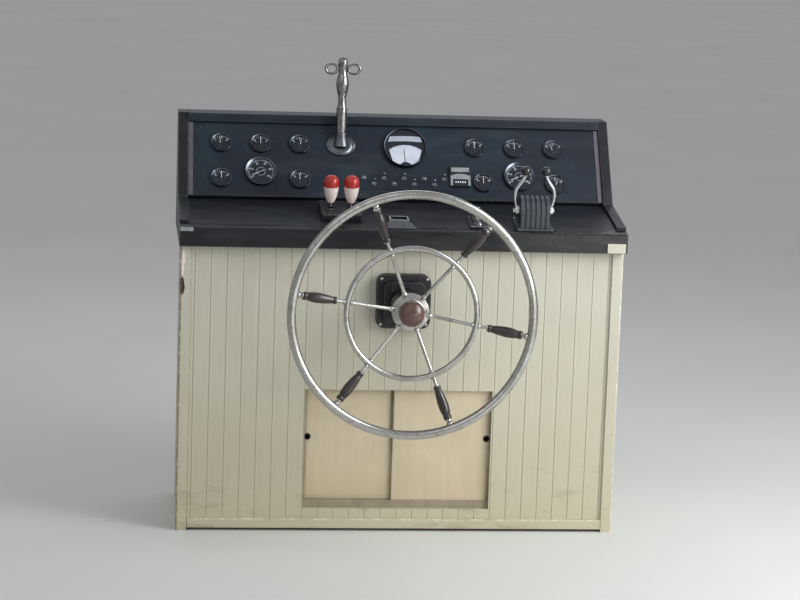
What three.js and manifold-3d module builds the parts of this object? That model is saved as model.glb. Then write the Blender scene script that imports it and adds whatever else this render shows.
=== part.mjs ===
// Helm console of a houseboat: a beadboard cabinet with two sliding doors, a black dash pod with its
// instruments and engine controls, and a steel spoked wheel on a helm unit.
// Millimetres. +X is to starboard as the helmsman stands, +Y is forward, away from the helmsman, +Z is up.
// Depths are measured from the front face of the beadboard until the last lines centre the whole on its origin.
import * as THREE from "three";
import { mergeVertices } from "three/addons/utils/BufferGeometryUtils.js";
import Module from "manifold-3d";

const wasm = await Module();
wasm.setup();

// Driving dimensions of the cabinet.
const FIT = 0.3; // gap between a piece and the one that carries it
const CABINET_DEPTH = 400;
const CABINET_HALF_WIDTH = 550; // to the outer face of a side panel
const CABINET_TOP = 724;
const SIDE_THICKNESS = 15;
const INNER_HALF_WIDTH = CABINET_HALF_WIDTH - SIDE_THICKNESS;
const FRONT_THICKNESS = 12;
const FRONT_FOOT = 8; // the beadboard stops short of the deck
const BACK_THICKNESS = 9;
const BOTTOM_BOARD = { low: 33, high: 48 };
const GROOVE = { pitch: 40, halfWidth: 2, depth: 2.5 };
const CORNER_TRIM = { width: 28, thickness: 6, radius: 4 };
const BASE_MOULDING = { high: 32, thickness: 5 };
const TOE_BOARD = { front: 22, back: 34 };

// Sliding doors and their tracks.
const DOORWAY = { halfWidth: 237, low: 58, high: 364 };
const DOOR = { thickness: 6, edge: 243, lap: 12, low: 70.3, high: 374 };
const DOOR_FRONT_TRACK = 15; // front face of the starboard door
const DOOR_REAR_TRACK = 25; // front face of the port door
const FINGER_HOLE = { radius: 6.5, inset: 15.5, height: 238 };
const TRACK = { halfLength: 246, back: 36, slack: 0.6, headLow: 364, headHigh: 390, headFloor: 383, sill: 78, sillFloor: 70 };

// Dash pod: its section runs lip, sloping desk, steep instrument panel, ledge.
const POD_HALF_WIDTH = 560;
const CHEEK_THICKNESS = 25;
const CHEEK_PROUD = 8;
const LIP_DEPTH = 30;
const LIP_TOP = 774;
const DESK_THICKNESS = 18;
const PANEL_FOOT = { y: 190, z: 814.5 };
const PANEL_HEAD = { y: 315, z: 1003 };
const PANEL_THICKNESS = 8;
const PANEL_SPAN = { low: 10, high: 225.5 }; // up the slope
const PANEL_BATTEN = { high: 40, depth: 18 };
const LEDGE = { front: 306, thickness: 22 };
const POD_TOP = PANEL_HEAD.z + LEDGE.thickness;
const DESK_BACK = 200;
const DESK_SLOPE = Math.atan2(PANEL_FOOT.z - LIP_TOP, PANEL_FOOT.y + LIP_DEPTH);
const PANEL_LEAN = Math.atan2(PANEL_HEAD.y - PANEL_FOOT.y, PANEL_HEAD.z - PANEL_FOOT.z);
const PANEL_TURN = Math.PI / 2 - PANEL_LEAN;

// Instruments on the panel: across is from the centre line, up is along the slope.
const SMALL_GAUGE = { bezel: 27, can: 23, depth: 45, proud: 7, sides: 16 };
const TACHOMETER = { bezel: 41, can: 36, depth: 60, proud: 9, sides: 20 };
const RUDDER_DIAL = { bezel: 57, can: 50, depth: 55, proud: 12, sides: 24 };
const UPPER_ROW = 163;
const LOWER_ROW = 62;
const TACHOMETER_ROW = 82;
const INSTRUMENTS = [
  { name: "gauge_upper_port_1", across: -450, up: UPPER_ROW, kind: SMALL_GAUGE },
  { name: "gauge_upper_port_2", across: -349, up: UPPER_ROW, kind: SMALL_GAUGE },
  { name: "gauge_upper_port_3", across: -248, up: UPPER_ROW, kind: SMALL_GAUGE },
  { name: "gauge_upper_stbd_1", across: 207, up: UPPER_ROW, kind: SMALL_GAUGE },
  { name: "gauge_upper_stbd_2", across: 310, up: UPPER_ROW, kind: SMALL_GAUGE },
  { name: "gauge_upper_stbd_3", across: 413, up: UPPER_ROW, kind: SMALL_GAUGE },
  { name: "gauge_lower_port_1", across: -450, up: LOWER_ROW, kind: SMALL_GAUGE },
  { name: "gauge_lower_port_2", across: -248, up: LOWER_ROW, kind: SMALL_GAUGE },
  { name: "gauge_lower_stbd_1", across: 226, up: LOWER_ROW, kind: SMALL_GAUGE },
  { name: "gauge_lower_stbd_2", across: 413, up: LOWER_ROW, kind: SMALL_GAUGE },
  { name: "tachometer_port", across: -349, up: TACHOMETER_ROW, kind: TACHOMETER },
  { name: "tachometer_stbd", across: 320, up: TACHOMETER_ROW, kind: TACHOMETER },
  { name: "rudder_indicator", across: 25, up: 158, kind: RUDDER_DIAL },
];
const SWITCHES = { across: 19, count: 9, pitch: 26, low: 53, stagger: 16, margin: 13, plateThickness: 2 };
const HOUR_METER = { across: 165, up: 78, halfWidth: 27, halfHeight: 29, proud: 9, depth: 40 };

// Searchlight handle: a stem that stands upright in a flanged bearing on the sloping panel.
const HANDLE = { across: -142, up: UPPER_ROW, flange: 38, flangeThickness: 6, bossTop: 34, pin: 6, pinDepth: 24 };
const HANDLE_LOOP = { centre: 29, height: 164, halfWidth: 15, halfHeight: 12.5, wire: 4 };

// Engine controls on the desk, placed by the centre of each foot.
const THROTTLE = { across: -155, y: 90, halfWidth: 52, halfDepth: 58, height: 18, pivot: 8, spacing: 25.5 };
const THROTTLE_LEVER = { rod: 4, pin: 2.5, pinReach: 12, foot: 6, knobFoot: 32, knobTop: 102 };
const SHIFT = { across: 325, y: 26, halfWidth: 36, drum: 38, pivot: 40, flangeX: 46, flangeY: 50, flange: 6 };
const SHIFT_LEVER = { pin: 5, pinReach: 14, boss: 14, knobCentre: 103, knob: 12, knobOffset: 25.5 };

const IGNITION = { across: 187, y: 40, halfWidth: 23, halfDepth: 46, thickness: 2.5, spacing: 22 };
const TRAY = { across: -15, y: 14, foot: [44, 32], head: [24, 17], height: 18, wall: 4, floor: 3 };

// Steering wheel and helm unit, on one axis that runs fore and aft.
const WHEEL_HEIGHT = 594;
const RIM = { radius: 294, tube: 11, y: -235 };
const INNER_RING = { radius: 159.5, tube: 7 };
const SPOKE = { count: 6, firstDeg: 50.5, radius: 4.5, root: 20, rootY: -177 };
const SPOKE_DISH = (RIM.y - SPOKE.rootY) / (RIM.radius - SPOKE.root); // fore-and-aft drop for each mm outwards
const GRIP = { from: 188, to: 272, bore: SPOKE.radius + FIT };
const SHAFT = { radius: 10, bore: 10.4, boreFloor: -22, end: -26 };
const HELM = { bezelHalf: 68, bezelY: -28, stepHalf: 52, stepY: -44, noseY: -80, neck: 41, body: 50, bodyBack: 110 };

const materials = Object.fromEntries(
  Object.entries({
    creamPaint: [0xc9c4ae, 0.55, 0],
    doorPanel: [0xcbbd99, 0.5, 0],
    plywood: [0xb08a5c, 0.7, 0],
    blackLaminate: [0x24272e, 0.4, 0],
    blackPlastic: [0x141518, 0.45, 0],
    gauge: [0x1b1d20, 0.3, 0.2],
    chrome: [0xc8cacc, 0.2, 1],
    steel: [0xb9bab6, 0.28, 1],
    mahogany: [0x4a2419, 0.4, 0],
    redKnob: [0xb3231c, 0.3, 0],
    toeBlack: [0x2b2a27, 0.8, 0],
  }).map(([name, [color, roughness, metalness]]) => [
    name,
    new THREE.MeshStandardMaterial({ name, color, roughness, metalness }),
  ]),
);

// A closed geometry as a manifold-3d solid.
function solid(geometry) {
  const bare = geometry.index ? geometry.toNonIndexed() : geometry.clone();
  bare.deleteAttribute("normal");
  bare.deleteAttribute("uv");
  const merged = mergeVertices(bare, 1e-4);
  return new wasm.Manifold(
    new wasm.Mesh({
      numProp: 3,
      vertProperties: merged.attributes.position.array,
      triVerts: new Uint32Array(merged.index.array),
    }),
  );
}

function geometryOf(manifold) {
  const { numProp, vertProperties, triVerts } = manifold.getMesh();
  if (numProp !== 3) throw new Error("a solid carries more than positions");
  return new THREE.BufferGeometry()
    .setAttribute("position", new THREE.BufferAttribute(vertProperties, 3))
    .setIndex(new THREE.BufferAttribute(triVerts, 1));
}

// First geometry joined with more of them.
function join(...geometries) {
  return geometryOf(geometries.map(solid).reduce((all, next) => all.add(next)));
}

// Geometry with the others cut out of it.
function cut(body, ...tools) {
  return geometryOf(tools.map(solid).reduce((rest, tool) => rest.subtract(tool), solid(body)));
}

function box(x0, x1, y0, y1, z0, z1) {
  return new THREE.BoxGeometry(x1 - x0, y1 - y0, z1 - z0).translate((x0 + x1) / 2, (y0 + y1) / 2, (z0 + z1) / 2);
}

function shapeOf(points) {
  return new THREE.Shape(points.map(([a, b]) => new THREE.Vector2(a, b)));
}

// A fore-and-aft section, given as [y, z], run along X.
function alongX(section, x0, x1, curveSegments = 8) {
  const shape = section instanceof THREE.Shape ? section : shapeOf(section);
  const [x, y, z] = [new THREE.Vector3(1, 0, 0), new THREE.Vector3(0, 1, 0), new THREE.Vector3(0, 0, 1)];
  return new THREE.ExtrudeGeometry(shape, { depth: x1 - x0, bevelEnabled: false, curveSegments })
    .applyMatrix4(new THREE.Matrix4().makeBasis(y, z, x))
    .translate(x0, 0, 0);
}

// A plan section, given as [x, y], run along Z.
function alongZ(section, z0, z1, curveSegments = 4) {
  const shape = section instanceof THREE.Shape ? section : shapeOf(section);
  return new THREE.ExtrudeGeometry(shape, { depth: z1 - z0, bevelEnabled: false, curveSegments }).translate(0, 0, z0);
}

// A profile of [radius, height], turned about Z, or about the axis that the turn brings it to.
function turned(profile, sides, turn = (geometry) => geometry) {
  const points = profile.map(([radius, height]) => new THREE.Vector2(radius, height));
  return turn(new THREE.LatheGeometry(points, sides).rotateX(Math.PI / 2));
}

// Turns a part made about Z so that its axis points along Y, or along X.
const aboutY = (geometry) => geometry.rotateX(-Math.PI / 2);
const aboutX = (geometry) => geometry.rotateY(Math.PI / 2);

function rod(radius, z0, z1, sides = 12) {
  return turned([[0, z0], [radius, z0], [radius, z1], [0, z1]], sides);
}

function roundedSquare(half, radius) {
  const shape = new THREE.Shape();
  const inner = half - radius;
  [[inner, -inner, -90], [inner, inner, 0], [-inner, inner, 90], [-inner, -inner, 180]].forEach(([x, y, start]) => {
    const from = THREE.MathUtils.degToRad(start);
    shape.absarc(x, y, radius, from, from + Math.PI / 2, false);
  });
  shape.closePath();
  return shape;
}

const console_ = new THREE.Group();

function add(parent, name, geometry, material) {
  const mesh = new THREE.Mesh(geometry, material);
  mesh.name = name;
  parent.add(mesh);
  return mesh;
}

function groupAt(parent, x, y, z, turnX = 0) {
  const group = new THREE.Group();
  group.position.set(x, y, z);
  group.rotation.x = turnX;
  parent.add(group);
  return group;
}

// The front edge of a board with a row of V grooves, as points from low to high along the board.
function groovedEdge(low, high) {
  const points = [];
  const first = Math.ceil((low + GROOVE.halfWidth + 1) / GROOVE.pitch) * GROOVE.pitch;
  for (let at = first; at < high - GROOVE.halfWidth; at += GROOVE.pitch) {
    points.push([at - GROOVE.halfWidth, 0], [at, GROOVE.depth], [at + GROOVE.halfWidth, 0]);
  }
  return [[low, 0], ...points, [high, 0]];
}

// Beadboard front: grooved, with a plain moulding along its foot, the doorway, the hole for the helm unit and
// a narrower strip behind the lip.
function frontPanel() {
  const edge = groovedEdge(-CABINET_HALF_WIDTH, CABINET_HALF_WIDTH);
  const back = [[CABINET_HALF_WIDTH, FRONT_THICKNESS], [-CABINET_HALF_WIDTH, FRONT_THICKNESS]];
  const top = LIP_TOP + Math.tan(DESK_SLOPE) * LIP_DEPTH - DESK_THICKNESS / Math.cos(DESK_SLOPE) - 0.7;
  const corner = (side) =>
    box(...[side * (INNER_HALF_WIDTH - FIT), side * 600].sort((a, b) => a - b), -5, 20, CABINET_TOP, top + 5);
  const end = CABINET_HALF_WIDTH + CORNER_TRIM.thickness - CORNER_TRIM.width;
  const moulding = box(-end, end, -BASE_MOULDING.thickness, 5, FRONT_FOOT, BASE_MOULDING.high);
  return cut(
    join(alongZ([...edge, ...back], FRONT_FOOT, top), moulding),
    box(-DOORWAY.halfWidth, DOORWAY.halfWidth, -5, 20, DOORWAY.low, DOORWAY.high),
    rod(HELM.neck + FIT, -5, 20, 32).rotateX(-Math.PI / 2).translate(0, 0, WHEEL_HEIGHT),
    corner(-1),
    corner(1),
  );
}

// Side panel with its grooves on the outer face: side is -1 to port, 1 to starboard.
function sidePanel(side) {
  const edge = groovedEdge(FRONT_THICKNESS, CABINET_DEPTH).map(([along, deep]) => [CABINET_HALF_WIDTH - deep, along]);
  const plan = [...edge, [INNER_HALF_WIDTH, CABINET_DEPTH], [INNER_HALF_WIDTH, FRONT_THICKNESS]];
  const mirrored = plan.map(([x, y]) => [side * x, y]);
  return alongZ(side > 0 ? mirrored : mirrored.reverse(), 0, CABINET_TOP);
}

// Corner trim: an angle round the front corner, with its outer edge rounded over.
function cornerTrim(side) {
  const { width, thickness, radius } = CORNER_TRIM;
  const outer = CABINET_HALF_WIDTH + thickness;
  const plan = new THREE.Shape();
  plan.moveTo(outer - width, -thickness);
  plan.lineTo(outer - radius, -thickness);
  plan.absarc(outer - radius, radius - thickness, radius, -Math.PI / 2, 0, false);
  plan.lineTo(outer, width - thickness);
  plan.lineTo(CABINET_HALF_WIDTH, width - thickness);
  plan.lineTo(CABINET_HALF_WIDTH, 0);
  plan.lineTo(outer - width, 0);
  plan.closePath();
  const points = plan.getPoints(4).map((p) => [side * p.x, p.y]);
  return alongZ(side > 0 ? points : points.reverse(), 0, CABINET_TOP);
}

// Track: a rail with two grooves, one for each door. The grooves open downwards in the head track.
function track(low, high, grooveLow, grooveHigh) {
  const { halfLength, back, slack } = TRACK;
  const groove = (front) =>
    box(-halfLength - 1, halfLength + 1, front - slack, front + DOOR.thickness + slack, grooveLow, grooveHigh);
  return cut(
    box(-halfLength, halfLength, FRONT_THICKNESS, back, low, high),
    groove(DOOR_FRONT_TRACK),
    groove(DOOR_REAR_TRACK),
  );
}

// Sliding door: side is -1 for the port door on the rear track, 1 for the starboard door on the front one.
function door(side) {
  const front = side < 0 ? DOOR_REAR_TRACK : DOOR_FRONT_TRACK;
  const [x0, x1] = side < 0 ? [-DOOR.edge, DOOR.lap] : [-DOOR.lap, DOOR.edge];
  const hole = rod(FINGER_HOLE.radius, front - 5, front + DOOR.thickness + 5, 16)
    .rotateX(-Math.PI / 2)
    .translate(side * (DOOR.edge - FINGER_HOLE.inset), 0, FINGER_HOLE.height);
  return cut(box(x0, x1, front, front + DOOR.thickness, DOOR.low, DOOR.high), hole);
}

function buildCabinet() {
  const inner = INNER_HALF_WIDTH;
  const back = CABINET_DEPTH - BACK_THICKNESS;
  add(console_, "front_panel", frontPanel(), materials.creamPaint);
  for (const [side, name] of [[-1, "port"], [1, "stbd"]]) {
    add(console_, `side_panel_${name}`, sidePanel(side), materials.creamPaint);
    add(console_, `corner_trim_${name}`, cornerTrim(side), materials.creamPaint);
    add(console_, `sliding_door_${name}`, door(side), materials.doorPanel);
  }
  add(console_, "back_panel", box(-inner, inner, back, CABINET_DEPTH, 20, PANEL_HEAD.z), materials.plywood);
  add(
    console_,
    "bottom_board",
    box(-inner, inner, FRONT_THICKNESS, back, BOTTOM_BOARD.low, BOTTOM_BOARD.high),
    materials.plywood,
  );
  add(console_, "toe_board", box(-inner, inner, TOE_BOARD.front, TOE_BOARD.back, 0, BOTTOM_BOARD.low), materials.toeBlack);
  const { headLow, headHigh, headFloor, sill, sillFloor } = TRACK;
  add(console_, "head_track", track(headLow, headHigh, headLow - 1, headFloor), materials.plywood);
  add(console_, "foot_track", track(BOTTOM_BOARD.high, sill, sillFloor, sill + 1), materials.creamPaint);
}

// Height of the desk's upper face at a depth y.
const deskAt = (y) => LIP_TOP + Math.tan(DESK_SLOPE) * (y + LIP_DEPTH);

// Cheek: side board of the pod, whose edge stands proud of the desk and of the panel.
function cheekSection() {
  const overDesk = (y) => deskAt(y) + CHEEK_PROUD / Math.cos(DESK_SLOPE);
  const overPanel = (z) =>
    PANEL_FOOT.y + Math.tan(PANEL_LEAN) * (z - PANEL_FOOT.z) - CHEEK_PROUD / Math.cos(PANEL_LEAN);
  const slope = Math.tan(DESK_SLOPE) * Math.tan(PANEL_LEAN);
  const bendZ = (overDesk(overPanel(0)) - 0) / (1 - slope);
  return [
    [0, CABINET_TOP],
    [CABINET_DEPTH, CABINET_TOP],
    [CABINET_DEPTH, POD_TOP],
    [overPanel(POD_TOP), POD_TOP],
    [overPanel(bendZ), bendZ],
    [0, overDesk(0)],
  ];
}

function buildPod() {
  const inner = INNER_HALF_WIDTH;
  const deskDrop = DESK_THICKNESS / Math.cos(DESK_SLOPE);
  for (const [side, name] of [[-1, "port"], [1, "stbd"]]) {
    const [x0, x1] = [side * POD_HALF_WIDTH, side * (POD_HALF_WIDTH - CHEEK_THICKNESS)].sort((a, b) => a - b);
    add(console_, `cheek_${name}`, alongX(cheekSection(), x0, x1), materials.blackLaminate);
  }
  add(
    console_,
    "desk_top",
    alongX(
      [[0, deskAt(0) - deskDrop], [DESK_BACK, deskAt(DESK_BACK) - deskDrop], [DESK_BACK, deskAt(DESK_BACK)], [0, deskAt(0)]],
      -inner,
      inner,
    ),
    materials.blackLaminate,
  );
  add(
    console_,
    "desk_lip",
    alongX(
      [[-LIP_DEPTH, CABINET_TOP], [0, CABINET_TOP], [0, deskAt(0)], [-LIP_DEPTH, LIP_TOP]],
      -POD_HALF_WIDTH,
      POD_HALF_WIDTH,
    ),
    materials.blackLaminate,
  );
  add(console_, "ledge", box(-inner, inner, LEDGE.front, CABINET_DEPTH, PANEL_HEAD.z, POD_TOP), materials.blackLaminate);
}

// Instrument panel: a plate with a round hole for each instrument and a batten along its foot.
function instrumentPlate() {
  const half = INNER_HALF_WIDTH - FIT;
  const plate = box(-half, half, PANEL_SPAN.low, PANEL_SPAN.high, -PANEL_THICKNESS, 0);
  const batten = box(-half, half, PANEL_SPAN.low, PANEL_BATTEN.high, -PANEL_THICKNESS - PANEL_BATTEN.depth, -PANEL_THICKNESS);
  const holes = INSTRUMENTS.map(({ across, up, kind }) =>
    rod(kind.can + FIT, -PANEL_THICKNESS - PANEL_BATTEN.depth - 5, 5, kind.sides).translate(across, up, 0),
  );
  return cut(join(plate, batten), ...holes, hourMeterCan(FIT));
}

// Round instrument: a bezel that rests on the panel, a dial set back in it and a can behind.
function instrument({ bezel, can, depth, proud, sides }) {
  return turned(
    [
      [0, -depth],
      [can, -depth],
      [can, FIT],
      [bezel, FIT],
      [bezel, proud * 0.55],
      [bezel - 3, proud],
      [can - 1, proud],
      [can - 2.5, proud * 0.5],
      [0, proud * 0.5],
    ],
    sides,
  );
}

// Can of the hour meter, behind the panel, or the hole for it when a gap is given.
function hourMeterCan(gap) {
  const { across, up, halfWidth, halfHeight, depth } = HOUR_METER;
  const [x, y] = [halfWidth - 5 + gap, halfHeight - 5 + gap];
  return box(across - x, across + x, up - y, up + y, -depth, 5);
}

// Hour meter: a square bezel with a window set back in its lower half.
function hourMeter() {
  const { across, up, halfWidth, halfHeight, proud } = HOUR_METER;
  const bezel = box(across - halfWidth, across + halfWidth, up - halfHeight, up + halfHeight, FIT, proud);
  const window = box(across - 20, across + 20, up - 20, up - 2, proud - 4, proud + 5);
  return cut(join(bezel, hourMeterCan(0)), window);
}

// Toggle switches in two staggered rows on their plate.
function switchBank() {
  const { across, count, pitch, low, stagger, margin, plateThickness } = SWITCHES;
  const top = FIT + plateThickness;
  const halfWidth = ((count - 1) * pitch) / 2 + margin;
  const plate = box(across - halfWidth, across + halfWidth, low - margin, low + stagger + margin, FIT, top);
  const toggles = Array.from({ length: count }, (_, i) => {
    const at = across + (i - (count - 1) / 2) * pitch;
    const up = low + (i % 2 ? 0 : stagger);
    const bush = rod(5, FIT, top + 4, 8).translate(at, up, 0);
    const lever = rod(2.2, 0, 14, 6).rotateX(i % 3 ? -0.4 : 0.4).translate(at, up, top + 2);
    return join(bush, lever);
  });
  return join(plate, ...toggles);
}

function buildInstruments() {
  const panel = groupAt(console_, 0, PANEL_FOOT.y, PANEL_FOOT.z, PANEL_TURN);
  add(panel, "instrument_panel", instrumentPlate(), materials.blackLaminate);
  for (const { name, across, up, kind } of INSTRUMENTS) {
    add(panel, name, instrument(kind), materials.gauge).position.set(across, up, 0);
  }
  add(panel, "hour_meter", hourMeter(), materials.gauge);
  add(panel, "switch_bank", switchBank(), materials.blackPlastic);
}

// Bearing of the searchlight handle: a flange that lies on the slope and an upright boss with a blind bore.
function handleBearing() {
  const { flange, flangeThickness, bossTop, pin, pinDepth } = HANDLE;
  const disc = rod(flange, FIT, flangeThickness, 24).rotateX(PANEL_TURN);
  const boss = turned([[0, 0], [21, 0], [18, 12], [15, bossTop - 4], [15, bossTop], [0, bossTop]], 20);
  const under = box(-60, 60, -60, 60, -60, FIT).rotateX(PANEL_TURN);
  return cut(join(disc, boss), under, rod(pin + FIT, bossTop - pinDepth - 1, bossTop + 1, 16));
}

// Handle: a turned stem whose pin sits in the bearing, with a finger loop on each side of its head.
function handleStem() {
  const stem = turned(
    [
      [0, -HANDLE.pinDepth],
      [HANDLE.pin, -HANDLE.pinDepth],
      [HANDLE.pin, FIT],
      [13, FIT],
      [14, 4],
      [14, 58],
      [11, 74],
      [11, 96],
      [16, 116],
      [17, 130],
      [12, 148],
      [11, 160],
      [13, 174],
      [12, 186],
      [6, 193],
      [0, 195],
    ],
    16,
  );
  const loop = (side) =>
    new THREE.TorusGeometry(HANDLE_LOOP.halfWidth, HANDLE_LOOP.wire, 6, 16)
      .scale(1, HANDLE_LOOP.halfHeight / HANDLE_LOOP.halfWidth, 1)
      .rotateX(Math.PI / 2)
      .translate(side * HANDLE_LOOP.centre, 0, HANDLE_LOOP.height);
  return join(stem, loop(-1), loop(1));
}

function buildHandle() {
  const { across, up, bossTop } = HANDLE;
  const foot = { y: PANEL_FOOT.y + up * Math.sin(PANEL_LEAN), z: PANEL_FOOT.z + up * Math.cos(PANEL_LEAN) };
  const handle = groupAt(console_, across, foot.y, foot.z);
  add(handle, "handle_bearing", handleBearing(), materials.chrome);
  add(handle, "searchlight_handle", handleStem(), materials.chrome).position.z = bossTop;
}

// Throttle base: a low block with a pocket for each lever and a cross bore for its pivot pin.
function throttleBase() {
  const { halfWidth, halfDepth, height, pivot, spacing } = THROTTLE;
  const { pin, pinReach, foot } = THROTTLE_LEVER;
  const pockets = [-1, 1].flatMap((side) => [
    box(side * spacing - foot - 0.6, side * spacing + foot + 0.6, -17, 17, -5, height + 5),
    aboutX(rod(pin + FIT, -pinReach - FIT, pinReach + FIT, 12)).translate(side * spacing, 0, pivot),
  ]);
  return cut(box(-halfWidth, halfWidth, -halfDepth, halfDepth, FIT, height), ...pockets);
}

// Throttle lever about its pivot: a barrel on a cross pin, with a rod up to the knob.
function throttleLever() {
  const { rod: radius, pin, pinReach, foot, knobFoot } = THROTTLE_LEVER;
  const barrel = aboutX(rod(7, -foot, foot, 16));
  const crossPin = aboutX(rod(pin, -pinReach, pinReach, 10));
  return join(barrel, crossPin, rod(radius, 0, knobFoot - THROTTLE.pivot - FIT, 12));
}

// Throttle knob: a pear that stands on its rod.
function throttleKnob() {
  const { knobFoot, knobTop } = THROTTLE_LEVER;
  const height = knobTop - knobFoot;
  const outline = [[8, 0], [13, 0.08], [16, 0.3], [17.5, 0.5], [19.5, 0.62], [19, 0.8], [14.5, 0.93], [8, 0.99]];
  const profile = [[0, 0], ...outline.map(([radius, share]) => [radius, share * height]), [0, height]];
  return turned(profile, 16);
}

// Shift pedestal: a drum on a flange, with a blind bore in each side for a lever's pin.
function shiftPedestal() {
  const { halfWidth, drum, pivot, flangeX, flangeY, flange } = SHIFT;
  const section = new THREE.Shape();
  section.moveTo(-drum - 4, FIT);
  section.lineTo(drum + 4, FIT);
  section.lineTo(drum, pivot);
  section.absarc(0, pivot, drum, 0, Math.PI, false);
  section.closePath();
  const body = alongX(section, -halfWidth, halfWidth, 12);
  const foot = box(-flangeX, flangeX, -flangeY, flangeY, FIT, flange);
  const bore = (side) =>
    aboutX(rod(SHIFT_LEVER.pin + FIT, -SHIFT_LEVER.pinReach, SHIFT_LEVER.pinReach, 12)).translate(
      side * halfWidth,
      0,
      pivot,
    );
  return cut(join(body, foot), bore(-1), bore(1));
}

// Shift lever about its pivot, on the starboard side: a boss and pin, and an arm cranked in towards the middle.
function shiftLever(side) {
  const { pin, pinReach, boss, knobCentre, knob, knobOffset } = SHIFT_LEVER;
  const face = SHIFT.halfWidth + 1;
  const path = new THREE.CatmullRomCurve3(
    [
      [face + 6, 6],
      [face + 13, 32],
      [face + 11, 54],
      [face - 4, 78],
      [knobOffset, knobCentre - knob + 8],
    ].map(([x, z]) => new THREE.Vector3(x, 0, z)),
  );
  const section = new THREE.Shape();
  section.absellipse(0, 0, 6.5, 4, 0, 2 * Math.PI, false, 0);
  const arm = new THREE.ExtrudeGeometry(section, { steps: 12, bevelEnabled: false, extrudePath: path, curveSegments: 4 });
  const hub = aboutX(rod(boss, face, face + 12, 20));
  const stub = aboutX(rod(pin, SHIFT.halfWidth - pinReach + 1, face + 1, 12));
  const knobSeat = box(0, 100, -50, 50, knobCentre - knob + 2, knobCentre + 50);
  const lever = cut(join(hub, stub, arm), knobSeat);
  return side > 0 ? lever : geometryOf(solid(lever).rotate([0, 0, 180]));
}

function buildControls() {
  const throttle = groupAt(console_, THROTTLE.across, THROTTLE.y, deskAt(THROTTLE.y), DESK_SLOPE);
  add(throttle, "throttle_base", throttleBase(), materials.blackPlastic);
  const shift = groupAt(console_, SHIFT.across, SHIFT.y, deskAt(SHIFT.y), DESK_SLOPE);
  add(shift, "shift_pedestal", shiftPedestal(), materials.blackPlastic);
  for (const [side, name] of [[-1, "port"], [1, "stbd"]]) {
    const throttleSwing = groupAt(throttle, side * THROTTLE.spacing, 0, THROTTLE.pivot);
    add(throttleSwing, `throttle_lever_${name}`, throttleLever(), materials.chrome);
    add(throttleSwing, `throttle_knob_${name}`, throttleKnob(), materials.redKnob).position.z =
      THROTTLE_LEVER.knobFoot - THROTTLE.pivot;
    const shiftSwing = groupAt(shift, 0, 0, SHIFT.pivot);
    add(shiftSwing, `shift_lever_${name}`, shiftLever(side), materials.chrome);
    const { knob, knobCentre, knobOffset } = SHIFT_LEVER;
    const ball = new THREE.SphereGeometry(knob, 12, 8).rotateX(Math.PI / 2);
    const seat = rod(7, -knob - 2, -knob + 3, 12);
    const knobSolid = cut(join(ball, seat), rod(20, -40, -knob + 2 + FIT, 12));
    add(shiftSwing, `shift_knob_${name}`, knobSolid, materials.blackPlastic).position.set(
      side * knobOffset,
      0,
      knobCentre,
    );
  }
}

// Two key switches, one behind the other on a plate, each with its key turned crosswise.
function ignitionSwitches() {
  const { halfWidth, halfDepth, thickness, spacing } = IGNITION;
  const plate = box(-halfWidth, halfWidth, -halfDepth, halfDepth, FIT, thickness);
  const switches = [-1, 1].map((side) =>
    join(
      turned([[0, FIT], [12, FIT], [12, 7], [9.5, 12], [0, 12]], 16),
      box(-4, 4, -1.2, 1.2, 11, 20),
      rod(10, -1.4, 1.4, 14).rotateX(Math.PI / 2).translate(0, 0, 26),
    ).translate(0, side * spacing, 0),
  );
  return join(plate, ...switches);
}

// Straight-sided pyramid without its top, by the half sizes of its foot and head.
function frustum([footX, footY], [headX, headY], low, high) {
  const geometry = new THREE.CylinderGeometry(Math.SQRT2, Math.SQRT2, high - low, 4)
    .rotateY(Math.PI / 4)
    .rotateX(Math.PI / 2)
    .translate(0, 0, (low + high) / 2);
  const corners = geometry.attributes.position;
  for (let i = 0; i < corners.count; i++) {
    const [x, y] = corners.getZ(i) > (low + high) / 2 ? [headX, headY] : [footX, footY];
    corners.setXY(i, corners.getX(i) * x, corners.getY(i) * y);
  }
  return geometry;
}

// Ash tray: a low pyramid without its top, hollowed from above.
function deskTray() {
  const { foot, head, height, wall, floor } = TRAY;
  const inner = head.map((half) => half - wall);
  return cut(frustum(foot, head, FIT, height), box(-inner[0], inner[0], -inner[1], inner[1], floor, height + 5));
}

function buildDeskFittings() {
  const keys = groupAt(console_, IGNITION.across, IGNITION.y, deskAt(IGNITION.y), DESK_SLOPE);
  add(keys, "ignition_switches", ignitionSwitches(), materials.chrome);
  const tray = groupAt(console_, TRAY.across, TRAY.y, deskAt(TRAY.y), DESK_SLOPE);
  add(tray, "desk_tray", deskTray(), materials.chrome);
}

// Helm unit: a stepped bezel and nose in front of the beadboard, a neck through it and the body behind.
function helmUnit() {
  const { bezelHalf, bezelY, stepHalf, stepY, noseY, neck, body, bodyBack } = HELM;
  const plate = (half, radius, y0, y1) =>
    new THREE.ExtrudeGeometry(roundedSquare(half, radius), { depth: y1 - y0, bevelEnabled: false, curveSegments: 5 })
      .rotateX(Math.PI / 2)
      .translate(0, y1, 0);
  const nose = turned([[0, stepY + 2], [38, stepY + 2], [36, stepY - 10], [24, noseY], [0, noseY]].reverse(), 28, aboutY);
  const rear = turned(
    [[0, -2], [neck, -2], [neck, FRONT_THICKNESS + FIT], [body, FRONT_THICKNESS + FIT], [body, bodyBack], [0, bodyBack]],
    28,
    aboutY,
  );
  const bore = aboutY(rod(SHAFT.bore, noseY - 5, SHAFT.boreFloor, 20));
  return cut(join(plate(bezelHalf, 22, bezelY, -FIT), plate(stepHalf, 18, stepY, bezelY + 1), nose, rear), bore);
}

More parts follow.
